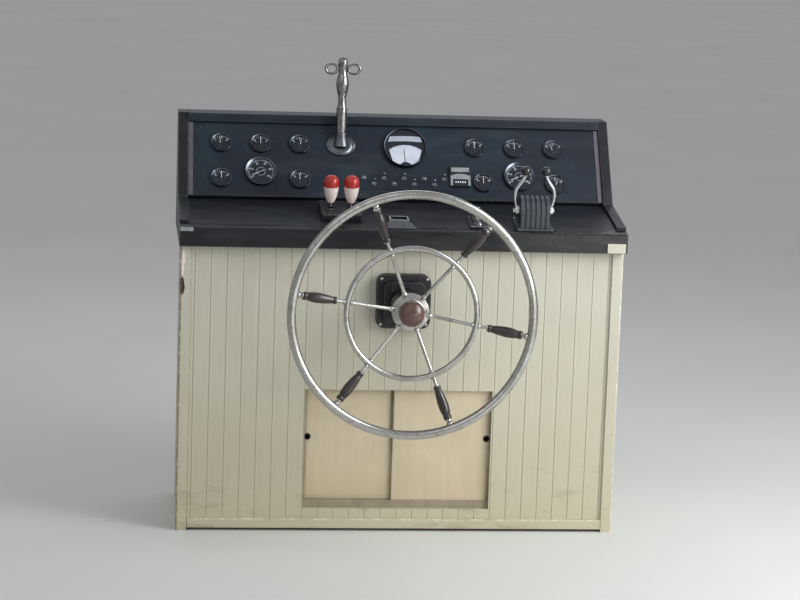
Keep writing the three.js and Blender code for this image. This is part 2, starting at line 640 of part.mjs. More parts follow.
// Point and direction of a spoke at a distance from the wheel's axis.
const spokeY = (radius) => SPOKE.rootY + SPOKE_DISH * (radius - SPOKE.root);
const spokeTilt = Math.atan(SPOKE_DISH);

// Brings a part made along +Z from the spoke's root into line with spoke number i.
function onSpoke(geometry, i) {
  const turn = THREE.MathUtils.degToRad(SPOKE.firstDeg + (i * 360) / SPOKE.count);
  return geometry
    .rotateX(-spokeTilt)
    .translate(0, SPOKE.rootY, SPOKE.root)
    .rotateY(Math.PI / 2 - turn);
}

// Distance along a spoke from its root to a given distance from the wheel's axis.
const alongSpoke = (radius) => (radius - SPOKE.root) / Math.cos(spokeTilt);

// Spokes drawn to a radius of the given section, for the spider itself or for the holes that they run through.
function spokes(radius, end) {
  return Array.from({ length: SPOKE.count }, (_, i) => onSpoke(rod(radius, 0, end, 10), i));
}

// Inner ring, drilled for the spokes that carry it.
function innerRing() {
  const { radius, tube } = INNER_RING;
  const ring = new THREE.TorusGeometry(radius, tube, 8, 42).rotateX(Math.PI / 2).translate(0, spokeY(radius), 0);
  return cut(ring, ...spokes(SPOKE.radius + FIT, alongSpoke(radius + 2 * tube)));
}

// Spider: shaft, hub and flange, with the dished spokes welded to them.
function wheelSpider() {
  const hub = turned(
    [
      [0, SHAFT.end],
      [SHAFT.radius, SHAFT.end],
      [SHAFT.radius, -146],
      [25, -146],
      [25, -168],
      [46, -172],
      [46, -183],
      [31, -186],
      [29, -200],
      [0, -200],
    ].reverse(),
    24,
    aboutY,
  );
  return join(hub, ...spokes(SPOKE.radius, alongSpoke(RIM.radius - RIM.tube) - 0.7));
}

// Grip: a turned wooden sleeve on a spoke.
function grip() {
  const { from, to, bore } = GRIP;
  const length = alongSpoke(to) - alongSpoke(from);
  const outline = [[8, 0], [9.5, 0.06], [8.6, 0.14], [12.4, 0.45], [12.8, 0.6], [10.2, 0.86], [10.4, 0.94], [8.5, 1]];
  const profile = outline.map(([radius, share]) => [radius, share * length]);
  return turned([[bore, 0], ...profile, [bore, length], [bore, 0]], 14).translate(0, 0, alongSpoke(from));
}

function buildWheel() {
  const wheel = groupAt(console_, 0, 0, WHEEL_HEIGHT);
  add(wheel, "helm_unit", helmUnit(), materials.blackPlastic);
  add(wheel, "wheel_spider", wheelSpider(), materials.steel);
  const rim = new THREE.TorusGeometry(RIM.radius, RIM.tube, 10, 54).rotateX(Math.PI / 2).translate(0, RIM.y, 0);
  add(wheel, "wheel_rim", rim, materials.steel);
  add(wheel, "wheel_inner_ring", innerRing(), materials.steel);
  for (let i = 0; i < SPOKE.count; i++) {
    add(wheel, `wheel_grip_${i + 1}`, onSpoke(grip(), i), materials.mahogany);
  }
  const cap = turned([[0, -200.3], [31, -200.3], [32, -206], [30, -218], [22, -226], [10, -230], [0, -231]].reverse(), 24, aboutY);
  add(wheel, "hub_cap", cap, materials.mahogany);
}

buildCabinet();
buildPod();
buildInstruments();
buildHandle();
buildControls();
buildDeskFittings();
buildWheel();

// The origin is on the deck, under the middle of the whole: halfway from the rim's front to the back panel.
const part = new THREE.Group();
console_.position.y = -(CABINET_DEPTH + RIM.y - RIM.tube) / 2;
part.add(console_);

export default part;
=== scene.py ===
# %% [markdown]
# # The helm console of a houseboat
#
# A painted beadboard cabinet carries a black dash with gauges, toggles and engine controls, and a big
# spoked wheel stands in front of it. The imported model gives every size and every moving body. This notebook
# gives each piece its real outline, edges and finish around that frame, and leaves the frame itself as it
# is.

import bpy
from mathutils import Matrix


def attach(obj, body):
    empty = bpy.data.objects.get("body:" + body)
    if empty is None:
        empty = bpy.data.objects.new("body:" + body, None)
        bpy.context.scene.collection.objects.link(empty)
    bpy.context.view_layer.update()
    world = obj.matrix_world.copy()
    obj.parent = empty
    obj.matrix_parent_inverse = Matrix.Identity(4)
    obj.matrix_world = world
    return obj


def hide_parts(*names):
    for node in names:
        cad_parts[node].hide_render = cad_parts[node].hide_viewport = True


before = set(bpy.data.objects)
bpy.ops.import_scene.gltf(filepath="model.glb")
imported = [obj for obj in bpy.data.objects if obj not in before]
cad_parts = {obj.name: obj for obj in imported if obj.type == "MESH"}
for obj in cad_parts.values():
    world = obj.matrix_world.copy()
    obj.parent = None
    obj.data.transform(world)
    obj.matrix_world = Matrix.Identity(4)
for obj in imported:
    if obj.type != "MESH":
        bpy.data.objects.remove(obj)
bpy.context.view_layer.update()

# %% [markdown]
# ## The planes that pieces are laid out on
#
# Shapes could be modelled straight in metres at their final place, but a gauge is far easier to draw lying
# flat at the origin. So each shape is made in millimetres about its own axis, and a place matrix carries it
# to the dash, to the desk or to the wheel. Depths run from the front face of the beadboard.

# %% The places
from math import atan2, cos, degrees, pi, radians, sin, tan, tau

import bmesh
import bpy
from mathutils import Matrix, Vector

SIDES = ((-1, "port"), (1, "stbd"))
INSIDE = 534.9  # half the room between the cheeks
DEPTH = 400
LIP_TOP, LIP_REACH = 774, 30
LEDGE_TOP = 1025
DESK_SLOPE = atan2(40.5, 220)
PANEL_Y, PANEL_Z = 190, 814.5  # the foot of the panel
PANEL_LEAN = atan2(125, 188.5)
WHEEL_AXIS = 594


def move(x=0, y=0, z=0):
    return Matrix.Translation((x, y, z))


def roll(angle, axis="Z"):
    return Matrix.Rotation(angle, 4, axis)


def desk_at(y):
    """The height of the sloping desk at a depth."""
    return LIP_TOP + tan(DESK_SLOPE) * (y + LIP_REACH)


def on_desk(x, y):
    """The place on the sloping desk, with up at right angles to it."""
    return FACE @ move(x, y, desk_at(y)) @ roll(DESK_SLOPE, "X")


def on_panel(across, up):
    """The place on the steep panel: across from the middle and up from its foot."""
    return FACE @ move(0, PANEL_Y, PANEL_Z) @ LEANING @ move(across, up)


# Each of these turns a shape's own upright axis another way.
LEANING = roll(pi / 2 - PANEL_LEAN, "X")
FORWARD, BACKWARD, SIDEWAYS = roll(pi / 2, "X"), roll(-pi / 2, "X"), roll(pi / 2, "Y")
FACE = move(y=-77)
WHEEL = FACE @ move(z=WHEEL_AXIS)
HUB = WHEEL @ BACKWARD
print("degrees: desk slopes", round(degrees(DESK_SLOPE), 1), "and panel leans", round(degrees(PANEL_LEAN), 1))

# %% [markdown]
# ## A small workshop of shapes
#
# Nearly everything here is a board, a turned part, a bent bar or a ring. Boards start from a cube or from
# an outline that is pushed along, turned parts are spun from a profile, and bent bars are rings bridged
# along a path. Every rounded edge is marked as worn, so that a finish can rub through just there.

# %% Boards and outlines


def new_shape():
    """An empty mesh whose corners can carry the mark of a worn edge."""
    shape = bmesh.new()
    shape.loops.layers.float.new("worn")
    return shape


def outward(shape):
    """Turns every face of a solid outwards."""
    bmesh.ops.recalc_face_normals(shape, faces=shape.faces)
    return shape


def round_edges(shape, width, segments=2, angle=30, only=None):
    """Rounds the edges that turn more than an angle, and marks the new faces as worn."""
    turns = lambda edge: len(edge.link_faces) == 2 and edge.calc_face_angle(0) > radians(angle)
    picked = [edge for edge in shape.edges if turns(edge) and (only is None or only(edge))]
    rounded = bmesh.ops.bevel(
        shape, geom=picked, offset=width, offset_type="OFFSET", segments=segments, profile=0.5,
        affect="EDGES", material=-1, clamp_overlap=True,
    )
    worn = shape.loops.layers.float["worn"]
    for face in rounded["faces"]:
        for loop in face.loops:
            loop[worn] = 1.0
    return shape


def block(low, high, edge=0.0, segments=2):
    """A board or block between two corners."""
    shape = new_shape()
    bmesh.ops.create_cube(shape, size=1.0)
    low, high = Vector(low), Vector(high)
    bmesh.ops.scale(shape, vec=high - low, verts=shape.verts)
    bmesh.ops.translate(shape, vec=(low + high) / 2, verts=shape.verts)
    return round_edges(shape, edge, segments) if edge else shape


def push_face(shape, face, along, keep=False):
    """Pushes a face out, and gives its new corners and end face. The old face is kept to close a solid."""
    grown = bmesh.ops.extrude_face_region(shape, geom=[face])["geom"]
    corners = [item for item in grown if isinstance(item, bmesh.types.BMVert)]
    bmesh.ops.translate(shape, vec=along, verts=corners)
    if not keep:
        bmesh.ops.delete(shape, geom=[face], context="FACES_ONLY")
    return corners, next(item for item in grown if isinstance(item, bmesh.types.BMFace))


def pushed(outline, along):
    """A flat outline of points in space, pushed along a vector into a solid."""
    shape = new_shape()
    push_face(shape, shape.faces.new([shape.verts.new(point) for point in outline]), along, keep=True)
    return outward(shape)


def side_on(outline, start, width):
    """An outline of depths and heights, pushed across."""
    return pushed([(start, y, z) for y, z in outline], (width, 0, 0))


trial = pushed([(0, 0, 0), (1, 0, 0), (0, 1, 0)], (0, 0, 2))
print("a pushed outline has", len(trial.faces), "faces and volume", round(trial.calc_volume(), 3))
trial.free()

# %% Turned parts, rings and bent bars


def smooth_path(points, steps=5):
    """More points on a smooth curve through the ones given."""
    points = [Vector(point) for point in points]
    ends = [points[0] * 2 - points[1], *points, points[-1] * 2 - points[-2]]
    path = []
    for a, b, c, d in zip(ends, ends[1:], ends[2:], ends[3:]):
        for step in range(steps):
            t = step / steps
            square, cube = 2 * a - 5 * b + 4 * c - d, 3 * b - a - 3 * c + d
            path.append(((2 * b) + (c - a) * t + square * t**2 + cube * t**3) / 2)
    return [*path, points[-1]]


def curve(profile, steps):
    """The same through a profile of radii and heights."""
    return [(point.x, point.z) for point in smooth_path([(radius, 0, z) for radius, z in profile], steps)]


def turned(outline, sides=48):
    """A profile of radius and height spun about the upright axis."""
    shape = new_shape()
    points = [shape.verts.new((radius, 0, height)) for radius, height in outline]
    edges = [shape.edges.new(ends) for ends in zip(points, points[1:])]
    bmesh.ops.spin(
        shape, geom=points + edges, axis=(0, 0, 1), cent=(0, 0, 0), angle=tau, steps=sides, use_merge=True
    )
    bmesh.ops.remove_doubles(shape, verts=shape.verts, dist=1e-4)
    return outward(shape)


def rod(radius, low, high, sides):
    return turned([(0, low), (radius, low), (radius, high), (0, high)], sides)


def ring(radius, tube, sides=96, tube_sides=16):
    """A round bar bent to a full circle about the upright axis."""
    shape = new_shape()
    place = move(radius) @ FORWARD
    circle = bmesh.ops.create_circle(shape, segments=tube_sides, radius=tube, matrix=place)["verts"]
    edges = list({edge for vert in circle for edge in vert.link_edges})
    bmesh.ops.spin(
        shape, geom=circle + edges, axis=(0, 0, 1), cent=(0, 0, 0), angle=tau, steps=sides, use_merge=True
    )
    return outward(shape)


def bent_bar(path, radii, sides, wide):
    """Rings along a path, each bridged to the next, with closed ends."""
    shape, rings, last = new_shape(), [], len(path) - 1
    for i, point in enumerate(path):
        ahead = path[min(i + 1, last)] - path[max(i - 1, 0)]
        facing = ahead.to_track_quat("Z", "Y").to_matrix().to_4x4()
        place = Matrix.Translation(point) @ facing @ Matrix.Diagonal((1, wide, 1, 1))
        circle = {"segments": sides, "radius": radii[i], "matrix": place, "cap_ends": i in (0, last)}
        rings.append(set(bmesh.ops.create_circle(shape, **circle)["verts"]))
    for near, far in zip(rings, rings[1:]):
        both = [edge for loop in (near, far) for edge in shape.edges if loop.issuperset(edge.verts)]
        bmesh.ops.bridge_loops(shape, edges=both)
    return outward(shape)


def is_closed(shape):
    return all(edge.is_manifold for edge in shape.edges)


trial = rod(1, 0, 2, 24)
print("a turned rod is closed:", is_closed(trial))
trial.free()

# %% Joining, cutting and putting in place
TO_METRES = Matrix.Diagonal((0.001, 0.001, 0.001, 1))


def as_mesh(name, shape):
    mesh = bpy.data.meshes.new(name)
    shape.to_mesh(mesh)
    shape.free()
    return mesh


def as_object(name, data):
    made = bpy.data.objects.new(name, data)
    bpy.context.scene.collection.objects.link(made)
    return made


def gather(parts):
    """A list of parts as one mesh. Each is a shape, or a shape with its place and its finish's number."""
    whole = new_shape()
    for part in parts:
        shape, place, finish = part if isinstance(part, tuple) else (part, Matrix(), 0)
        shape.transform(place)
        if finish is not None:
            for face in shape.faces:
                face.material_index = finish
        loose = as_mesh("loose", shape)
        whole.from_mesh(loose)
        bpy.data.meshes.remove(loose)
    return whole


def cut(shape, *tools):
    """Takes the tools out of a shape with exact Boolean modifiers."""
    body, *cutters = [as_object("loose", as_mesh("loose", solid)) for solid in (shape, *tools)]
    for cutter in cutters:
        modifier = body.modifiers.new("cut", "BOOLEAN")
        modifier.object, modifier.operation, modifier.solver = cutter, "DIFFERENCE", "EXACT"
    rest = bmesh.new()
    rest.from_object(body, bpy.context.evaluated_depsgraph_get())
    for used in (body, *cutters):
        mesh = used.data
        bpy.data.objects.remove(used)
        bpy.data.meshes.remove(mesh)
    return rest


def make_piece(name, shape, finishes, node=None, place=None, body="console", sharp=35):
    """Makes an object of a shape or a list of parts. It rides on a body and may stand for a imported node."""
    shape = gather(shape) if isinstance(shape, list) else shape
    shape.transform(TO_METRES @ (place or FACE))
    mesh = as_mesh(name, shape)
    for finish in finishes:
        mesh.materials.append(finish)
    mesh.shade_smooth()
    mesh.set_sharp_from_angle(angle=radians(sharp))
    piece = as_object(name, mesh)
    piece.modifiers.new("flat_faces_stay_flat", "WEIGHTED_NORMAL").keep_sharp = True
    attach(piece, body)
    if node:
        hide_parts(node)


print("one unit of a shape is", round(TO_METRES[0][0], 3), "metres")

# %% [markdown]
# ## How a finish is mixed
#
# A finish is a small recipe of nodes. It could be painted on an unwrapped picture, but patterns that are
# worked out from the object's own coordinates need no unwrapping and keep their real scale on every piece.
# The helpers below only shorten the wiring: noise for blotches and grain, a ramp for colours, and a bump
# for relief. Colours are given as three numbers from 0 to 255, as they are read off a screen.

# %% Helpers for finishes


def srgb(red, green, blue):
    """A screen's colour turned into the linear numbers that a shader takes."""
    linear = [v / 255 / 12.92 if v <= 10 else ((v / 255 + 0.055) / 1.055) ** 2.4 for v in (red, green, blue)]
    return (*linear, 1.0)


class Recipe:
    """One finish and the nodes that feed its shader."""

    def __init__(self, name, **constants):
        self.material = bpy.data.materials.new(name)
        self.material.use_nodes = True
        self.tree = self.material.node_tree
        self.shader = self.tree.nodes["Principled BSDF"]
        for socket, value in constants.items():
            self.shader.inputs[socket.replace("_", " ")].default_value = value
        self.coordinates = self.tree.nodes.new("ShaderNodeTexCoord").outputs["Object"]

    def feed(self, socket, value):
        if isinstance(value, bpy.types.NodeSocket):
            self.tree.links.new(value, socket)
        else:
            socket.default_value = srgb(*value) if socket.type == "RGBA" else value

    def node(self, kind, inputs, output=0, **settings):
        made = self.tree.nodes.new(kind)
        for key, value in settings.items():
            setattr(made, key, value)
        for key, value in inputs.items():
            self.feed(made.inputs[key], value)
        return made.outputs[output]

    def noise(self, scale, detail=4.0, rough=0.55, vector=None, bend=0.0):
        inputs = {"Vector": vector or self.coordinates, "Scale": scale, "Detail": detail}
        return self.node("ShaderNodeTexNoise", {**inputs, "Roughness": rough, "Distortion": bend})

    def grain(self, stretch, detail, rough, bend=0.0):
        """Noise with its own scale along each axis."""
        stretched = self.node("ShaderNodeMapping", {"Vector": self.coordinates, "Scale": stretch})
        return self.noise(1.0, detail, rough, stretched, bend)

    def ramp(self, factor, *stops):
        """A ramp through colours or through plain greys."""
        ramp = self.tree.nodes.new("ShaderNodeValToRGB")
        self.feed(ramp.inputs[0], factor)
        elements = ramp.color_ramp.elements
        while len(elements) < len(stops):
            elements.new(0.5)
        for element, (position, colour) in zip(elements, stops):
            element.position = position
            element.color = srgb(*colour) if isinstance(colour, tuple) else (colour, colour, colour, 1)
        return ramp.outputs[0]

    def mask(self, value, low, high, least=0.0):
        return self.ramp(value, (low, least), (high, 1.0))

    def maths(self, operation, first, second=0.0):
        return self.node("ShaderNodeMath", {0: first, 1: second}, operation=operation)

    def times(self, product, *factors):
        for factor in factors:
            product = self.maths("MULTIPLY", product, factor)
        return product

    def spread(self, value, low, high, to_low=0.0, to_high=1.0):
        inputs = {"Value": value, "From Min": low, "From Max": high, "To Min": to_low, "To Max": to_high}
        return self.node("ShaderNodeMapRange", inputs)

    def axis(self, letter):
        return self.node("ShaderNodeSeparateXYZ", {0: self.coordinates}, letter)

    def tint(self, tone, colour, amount):
        """Lays a colour over a tone."""
        return self.node("ShaderNodeMix", {0: amount, 6: tone, 7: colour}, 2, data_type="RGBA")

    def rub(self, tone, colour, amount, marks, low, high, least=0.0):
        """Lets another colour through in patches along the worn edges."""
        worn = self.node("ShaderNodeAttribute", {}, "Fac", attribute_name="worn")
        return self.tint(tone, colour, self.times(worn, self.mask(marks, low, high, least), amount))

    def done(self, tone, roughness, height=None, strength=0.0, distance=0.001):
        """Feeds the shader, with relief from a height if there is one, and gives the material."""
        self.feed(self.shader.inputs["Base Color"], tone)
        self.feed(self.shader.inputs["Roughness"], roughness)
        if height is not None:
            bump = self.node("ShaderNodeBump", {"Height": height, "Strength": strength, "Distance": distance})
            self.feed(self.shader.inputs["Normal"], bump)
        return self.material


print("finishes are read in the object's own coordinates")

# %% [markdown]
# ## Cream paint on the beadboard
#
# The cabinet is brushed with cream enamel that is greyer at the top, darker and warmer towards the sole, and
# scuffed near it, and its grooves are darkened with painted shade and some dirt. A single colour with a
# noise would do for a wall, but beadboard reads by its lines, so the painted shade in the grooves is worked
# out from the distance to the nearest groove, which comes every forty millimetres. On the chipped trim
# noise is masked around two heights: a pale flake first, and a bare dark patch below it.

# %% Cream paint
GROOVE_START = {"X": 0.8, "Y": 0.797}  # metres, to bring the first groove to 0
FLAKES = ((0.684, 0.075, (238, 226, 216)), (0.622, 0.05, (58, 40, 28)))  # height, reach up and down, colour


def cream_paint(name, groove_axis=None, chipped=False):
    paint = Recipe(name)
    height = paint.axis("Z")
    blotches = paint.noise(3.0, 5, 0.6)
    tone = paint.ramp(blotches, (0.3, (188, 186, 171)), (0.7, (202, 200, 185)))
    streaks = paint.grain((95, 95, 2.2), 3, 0.6)
    tone = paint.tint(tone, (176, 173, 154), paint.spread(streaks, 0.35, 0.75, 0, 0.22))
    # Darker and warmer towards the sole.
    tone = paint.tint(tone, (182, 173, 143), paint.times(paint.spread(height, 0.6, 0.05), 0.7))
    scuffs = paint.mask(paint.grain((9, 9, 34), 4, 0.7), 0.55, 0.72)
    tone = paint.tint(tone, (120, 108, 84), paint.times(scuffs, paint.spread(height, 0.22, 0.01), 0.55))
    # Painted shade with some dirt: darker close to each groove line, in patches.
    if groove_axis:
        across = paint.maths("ADD", paint.axis(groove_axis), GROOVE_START[groove_axis])
        from_groove = paint.maths("PINGPONG", across, 0.02)
        patchy = paint.spread(blotches, 0.2, 0.7, 0.1, 0.55)
        groove_shade_and_dirt = paint.times(paint.spread(from_groove, 0.0024, 0.0008), patchy)
        tone = paint.tint(tone, (158, 150, 126), groove_shade_and_dirt)
    rubs = paint.noise(70, 4, 0.7)
    if chipped:
        lumps = paint.grain((80, 80, 34), 4, 0.65)
        outer = paint.spread(paint.axis("X"), -0.538, -0.549)
        for middle, reach, colour in FLAKES:
            near = paint.spread(paint.maths("ABSOLUTE", paint.maths("SUBTRACT", height, middle)), reach, 0.0)
            tone = paint.tint(tone, colour, paint.mask(paint.times(lumps, near, outer), 0.26, 0.3))
        tone = paint.rub(tone, (134, 106, 78), 0.8, rubs, 0.36, 0.5)
    else:
        tone = paint.rub(tone, (226, 222, 208), 0.7, rubs, 0.5, 0.6)
    brushed = paint.maths("ADD", paint.grain((420, 420, 24), 2, 0.5), paint.noise(160, 3))
    return paint.done(tone, paint.spread(streaks, 0.2, 0.8, 0.42, 0.6), brushed, 0.22, 0.0004)


front_paint = cream_paint("cream_paint_front", "X")
side_paint = cream_paint("cream_paint_side", "Y")
trim_paint = cream_paint("cream_paint_trim")
chipped_paint = cream_paint("cream_paint_chipped", chipped=True)
print("cream paints: 4")

# %% [markdown]
# ## Door board, plywood and the toe board
#
# The doors are thin hardboard with a tan coat, rubbed pinkish where hands push them, with painted shadow at
# the joint between them and at the jambs. The back and the bottom are bare plywood that only shows from
# behind. Grain is noise stretched hard along the sheet: rings and waves look like solid timber, and
# rotary-cut veneer has no rings.

# %% Boards' finishes


def door_board():
    board = Recipe("door_board")
    across, height = board.axis("X"), board.axis("Z")
    hands = board.noise(6.0, 4, 0.6)
    tone = board.ramp(hands, (0.32, (196, 184, 156)), (0.58, (206, 193, 166)), (0.74, (204, 180, 160)))
    fibres = board.grain((60, 60, 7), 4, 0.7)
    tone = board.tint(tone, (176, 160, 126), board.spread(fibres, 0.4, 0.75, 0, 0.3))
    tone = board.tint(tone, (172, 150, 112), board.times(board.spread(height, 0.2, 0.07), 0.3))
    # Painted shadow: a dark band where the front door's edge shades the door behind, stronger higher up, and
    # a dark band along each jamb.
    from_joint = board.maths("ABSOLUTE", board.maths("ADD", across, 0.0145))
    joint_shadow = board.times(
        board.spread(from_joint, 0.007, 0.002), board.spread(fibres, 0.3, 0.6, 0.35, 1.0),
        board.spread(height, 0.17, 0.27, 0.35, 1.0),
    )
    jamb_shadow = board.times(
        board.spread(board.maths("ABSOLUTE", across), 0.226, 0.236), board.spread(fibres, 0.3, 0.7, 0.4, 0.9)
    )
    tone = board.tint(tone, (92, 68, 46), board.maths("MAXIMUM", joint_shadow, jamb_shadow))
    tone = board.rub(tone, (120, 90, 58), 0.6, board.noise(60, 4, 0.7), 0.45, 0.6)
    return board.done(tone, board.spread(hands, 0.3, 0.7, 0.4, 0.58), board.noise(300, 3), 0.15, 0.0003)


def plywood():
    sheet = Recipe("plywood")
    grain = sheet.grain((34, 34, 2.4), 6, 0.65, 0.6)
    tone = sheet.ramp(grain, (0.3, (158, 120, 76)), (0.5, (186, 150, 104)), (0.72, (205, 172, 126)))
    pores = sheet.mask(sheet.grain((700, 700, 40), 2, 0.5), 0.62, 0.7)
    tone = sheet.tint(tone, (104, 74, 44), sheet.times(pores, 0.5))
    stains = sheet.mask(sheet.noise(5, 5, 0.6), 0.55, 0.75)
    tone = sheet.tint(tone, (120, 92, 62), sheet.times(stains, 0.35))
    height = sheet.maths("SUBTRACT", grain, sheet.times(pores, 0.4))
    return sheet.done(tone, sheet.spread(grain, 0.3, 0.7, 0.6, 0.8), height, 0.3, 0.0006)


def dull_board(name, dark, pale):
    board = Recipe(name)
    dust = board.noise(14, 5, 0.7)
    tone = board.ramp(dust, (0.35, dark), (0.7, pale))
    return board.done(tone, board.spread(dust, 0.3, 0.7, 0.7, 0.95), board.noise(220, 3), 0.3, 0.0005)


door_finish, plywood_finish = door_board(), plywood()
# The toe board's dull black is painted shade for the gap under the base moulding.
toe_finish = dull_board("toe_black", (38, 37, 34), (66, 62, 54))
track_finish = dull_board("track_tan", (134, 124, 106), (164, 154, 132))
print("boards' finishes: 4")

# %% [markdown]
# ## Black laminate, plastics and rubber
#
# The panel and the ledge are faced with a satin blue-black laminate, the desk and the cheeks with a more
# neutral black one, and the lip with a darker, glossier one. All show wiping marks, dust and a paler line
# where their edges are rubbed. Such a dark surface is seen almost only by its gloss, so most of the recipe
# goes into the roughness.

# %% Dark finishes


def laminate(name, low, middle, high, specular=0.28, rough=0.32):
    sheet = Recipe(name, Specular_IOR_Level=specular)
    tone = sheet.ramp(sheet.noise(5, 5, 0.6), (0.3, low), (0.5, middle), (0.72, high))
    dust = sheet.mask(sheet.noise(900, 2, 0.5), 0.66, 0.74)
    tone = sheet.tint(tone, (120, 122, 124), sheet.times(dust, 0.25))
    wipes = sheet.grain((3, 14, 14), 4, 0.7, 1.2)
    tone = sheet.tint(tone, (92, 94, 98), sheet.spread(wipes, 0.5, 0.75, 0, 0.14))
    tone = sheet.rub(tone, (104, 104, 106), 0.5, sheet.noise(45, 4, 0.7), 0.35, 0.65, least=0.15)
    roughness = sheet.spread(wipes, 0.3, 0.75, rough, rough + 0.2)
    return sheet.done(tone, roughness, sheet.noise(750, 2), 0.08, 0.0002)


def dark_finish(name, dark, pale, rough, grain, relief, specular=0.5, coat=0.0, dusty=0.2):
    """A dark plastic, enamel or rubber: two close tones, some dust and a grain of its own size."""
    finish = Recipe(name, Specular_IOR_Level=specular, Coat_Weight=coat, Coat_Roughness=0.06)
    clouds = finish.noise(30, 5, 0.65)
    tone = finish.ramp(clouds, (0.3, dark), (0.75, pale))
    dust = finish.mask(finish.noise(1100, 2, 0.5), 0.68, 0.76)
    tone = finish.tint(tone, (150, 148, 142), finish.times(dust, dusty))
    tone = finish.rub(tone, (120, 120, 120), 0.35, finish.noise(90, 4, 0.7), 0.45, 0.65)
    roughness = finish.spread(clouds, 0.3, 0.75, rough - 0.06, rough + 0.1)
    return finish.done(tone, roughness, finish.noise(grain, 2), relief, 0.0002)


laminate_finish = laminate("blue_black_laminate", (27, 29, 41), (29, 38, 50), (32, 52, 61))
desk_finish = laminate("black_laminate", (27, 26, 32), (28, 30, 36), (30, 36, 42))
lip_finish = laminate("lip_laminate", (18, 19, 24), (22, 24, 29), (28, 31, 36), 0.42, 0.2)
plastic_finish = dark_finish("black_plastic", (17, 18, 21), (28, 29, 33), 0.42, 900, 0.2)
bezel_finish = dark_finish("bezel_enamel", (15, 16, 19), (26, 28, 33), 0.2, 500, 0.04, coat=0.6, dusty=0.04)
dial_finish = dark_finish("dial_black", (17, 20, 29), (25, 31, 43), 0.5, 800, 0.05, 0.3, dusty=0.02)
cover_finish = dark_finish("dial_cover", (17, 20, 28), (24, 30, 41), 0.48, 900, 0.08, 0.3, dusty=0.03)
rubber_finish = dark_finish("black_rubber", (26, 26, 27), (44, 43, 42), 0.62, 600, 0.3, 0.35)
drum_finish = dark_finish("grey_plastic", (48, 52, 59), (66, 71, 79), 0.46, 900, 0.2)
print("dark finishes: 9")

# %% [markdown]
# ## Chrome, steel and varnished mahogany
#
# The small fittings are chromed: worn and darkened with painted shade on the searchlight's handle, dull on
# its flange, bright on the levers' arms and nearly black on the gauges' rims. The wheel is polished
# stainless steel gone a little dull and brown where hands and salt have been. Metal takes nearly all its
# look from what it mirrors, so the recipes vary the roughness and lay stains over a plain reflecting base.
# The grips are dark mahogany under varnish, with the grain along each turned handle.

# %% Metals and wood


def metal(name, bright, stain, rough, amount, brush=(180, 180, 180)):
    """A polished metal with a film of stains and a light brushing."""
    polish = Recipe(name, Metallic=1.0)
    film = polish.noise(22, 5, 0.7)
    tone = polish.tint(bright, stain, polish.spread(film, 0.35, 0.75, 0, amount))
    spots = polish.mask(polish.noise(75, 4, 0.7), 0.55, 0.7)
    tone = polish.tint(tone, tuple(v * 0.6 for v in stain), polish.times(spots, amount * 0.8))
    roughness = polish.spread(film, 0.3, 0.75, rough, rough + 0.16)
    return polish.done(tone, roughness, polish.grain(brush, 3, 0.6), 0.05, 0.0002)


def mahogany(name, dark, pale, rub=(112, 80, 68)):
    wood = Recipe(name, Coat_Weight=0.7, Coat_Roughness=0.09)
    grain = wood.grain((90, 18, 90), 6, 0.7, 0.5)
    tone = wood.ramp(grain, (0.3, dark), (0.7, pale))
    rubbed = wood.mask(wood.noise(38, 4, 0.7), 0.55, 0.72)
    tone = wood.tint(tone, rub, wood.times(rubbed, 0.25))
    return wood.done(tone, wood.spread(grain, 0.3, 0.7, 0.32, 0.5), grain, 0.14, 0.0003)


chrome_finish = metal("chrome", (172, 174, 178), (120, 118, 114), 0.12, 0.5)
steel_finish = metal("wheel_steel", (200, 200, 197), (120, 106, 90), 0.18, 0.6, (40, 40, 40))
# Darker than the other chrome, as painted shade on the handle, with wear stains.
handle_finish = metal("worn_shaded_chrome", (156, 157, 158), (98, 94, 90), 0.15, 0.6)
flange_finish = metal("dull_chrome", (116, 119, 125), (80, 79, 80), 0.28, 0.5)
arm_finish = metal("bright_chrome", (214, 215, 217), (150, 148, 144), 0.2, 0.35)
rim_finish = metal("black_chrome", (100, 107, 121), (60, 63, 70), 0.16, 0.4)
grip_finish = mahogany("grip_mahogany", (15, 9, 9), (34, 18, 16), (78, 50, 46))
cap_finish = mahogany("cap_mahogany", (62, 38, 31), (98, 66, 56))
print("metals: 6, woods: 2")

# %% [markdown]
# ## Coloured knobs, printed marks and clear lenses
#
# The throttle knobs are red over a pinkish white foot, both in chipped glossy plastic. Marks on the dials
# are printed in off-white, and each dial lies under a thin clear lens. A coat on the dial alone would also
# shine, but not in front of the needle. The lens is a faint mirror that lets nearly all the light through,
# so the dial under it stays as clear as in the photograph.

# %% Small finishes


def gloss(name, first, second, rough=0.28):
    """A glossy moulded plastic or printed ink with a slightly uneven colour."""
    skin = Recipe(name, Coat_Weight=0.4, Coat_Roughness=0.08)
    clouds = skin.noise(60, 4, 0.6)
    tone = skin.ramp(clouds, (0.3, first), (0.75, second))
    roughness = skin.spread(clouds, 0.3, 0.75, rough, rough + 0.14)
    return skin.done(tone, roughness, skin.noise(700, 2), 0.05, 0.0002)


def clear_lens():
    """Thin glass as a faint mirror: a little of the light comes back, the rest goes through."""
    glass = Recipe("clear_lens", Metallic=1.0, Alpha=0.01)
    haze = glass.noise(40, 3)
    return glass.done(glass.ramp(haze, (0.3, 0.97), (0.8, 0.86)), glass.spread(haze, 0.3, 0.8, 0.03, 0.09))


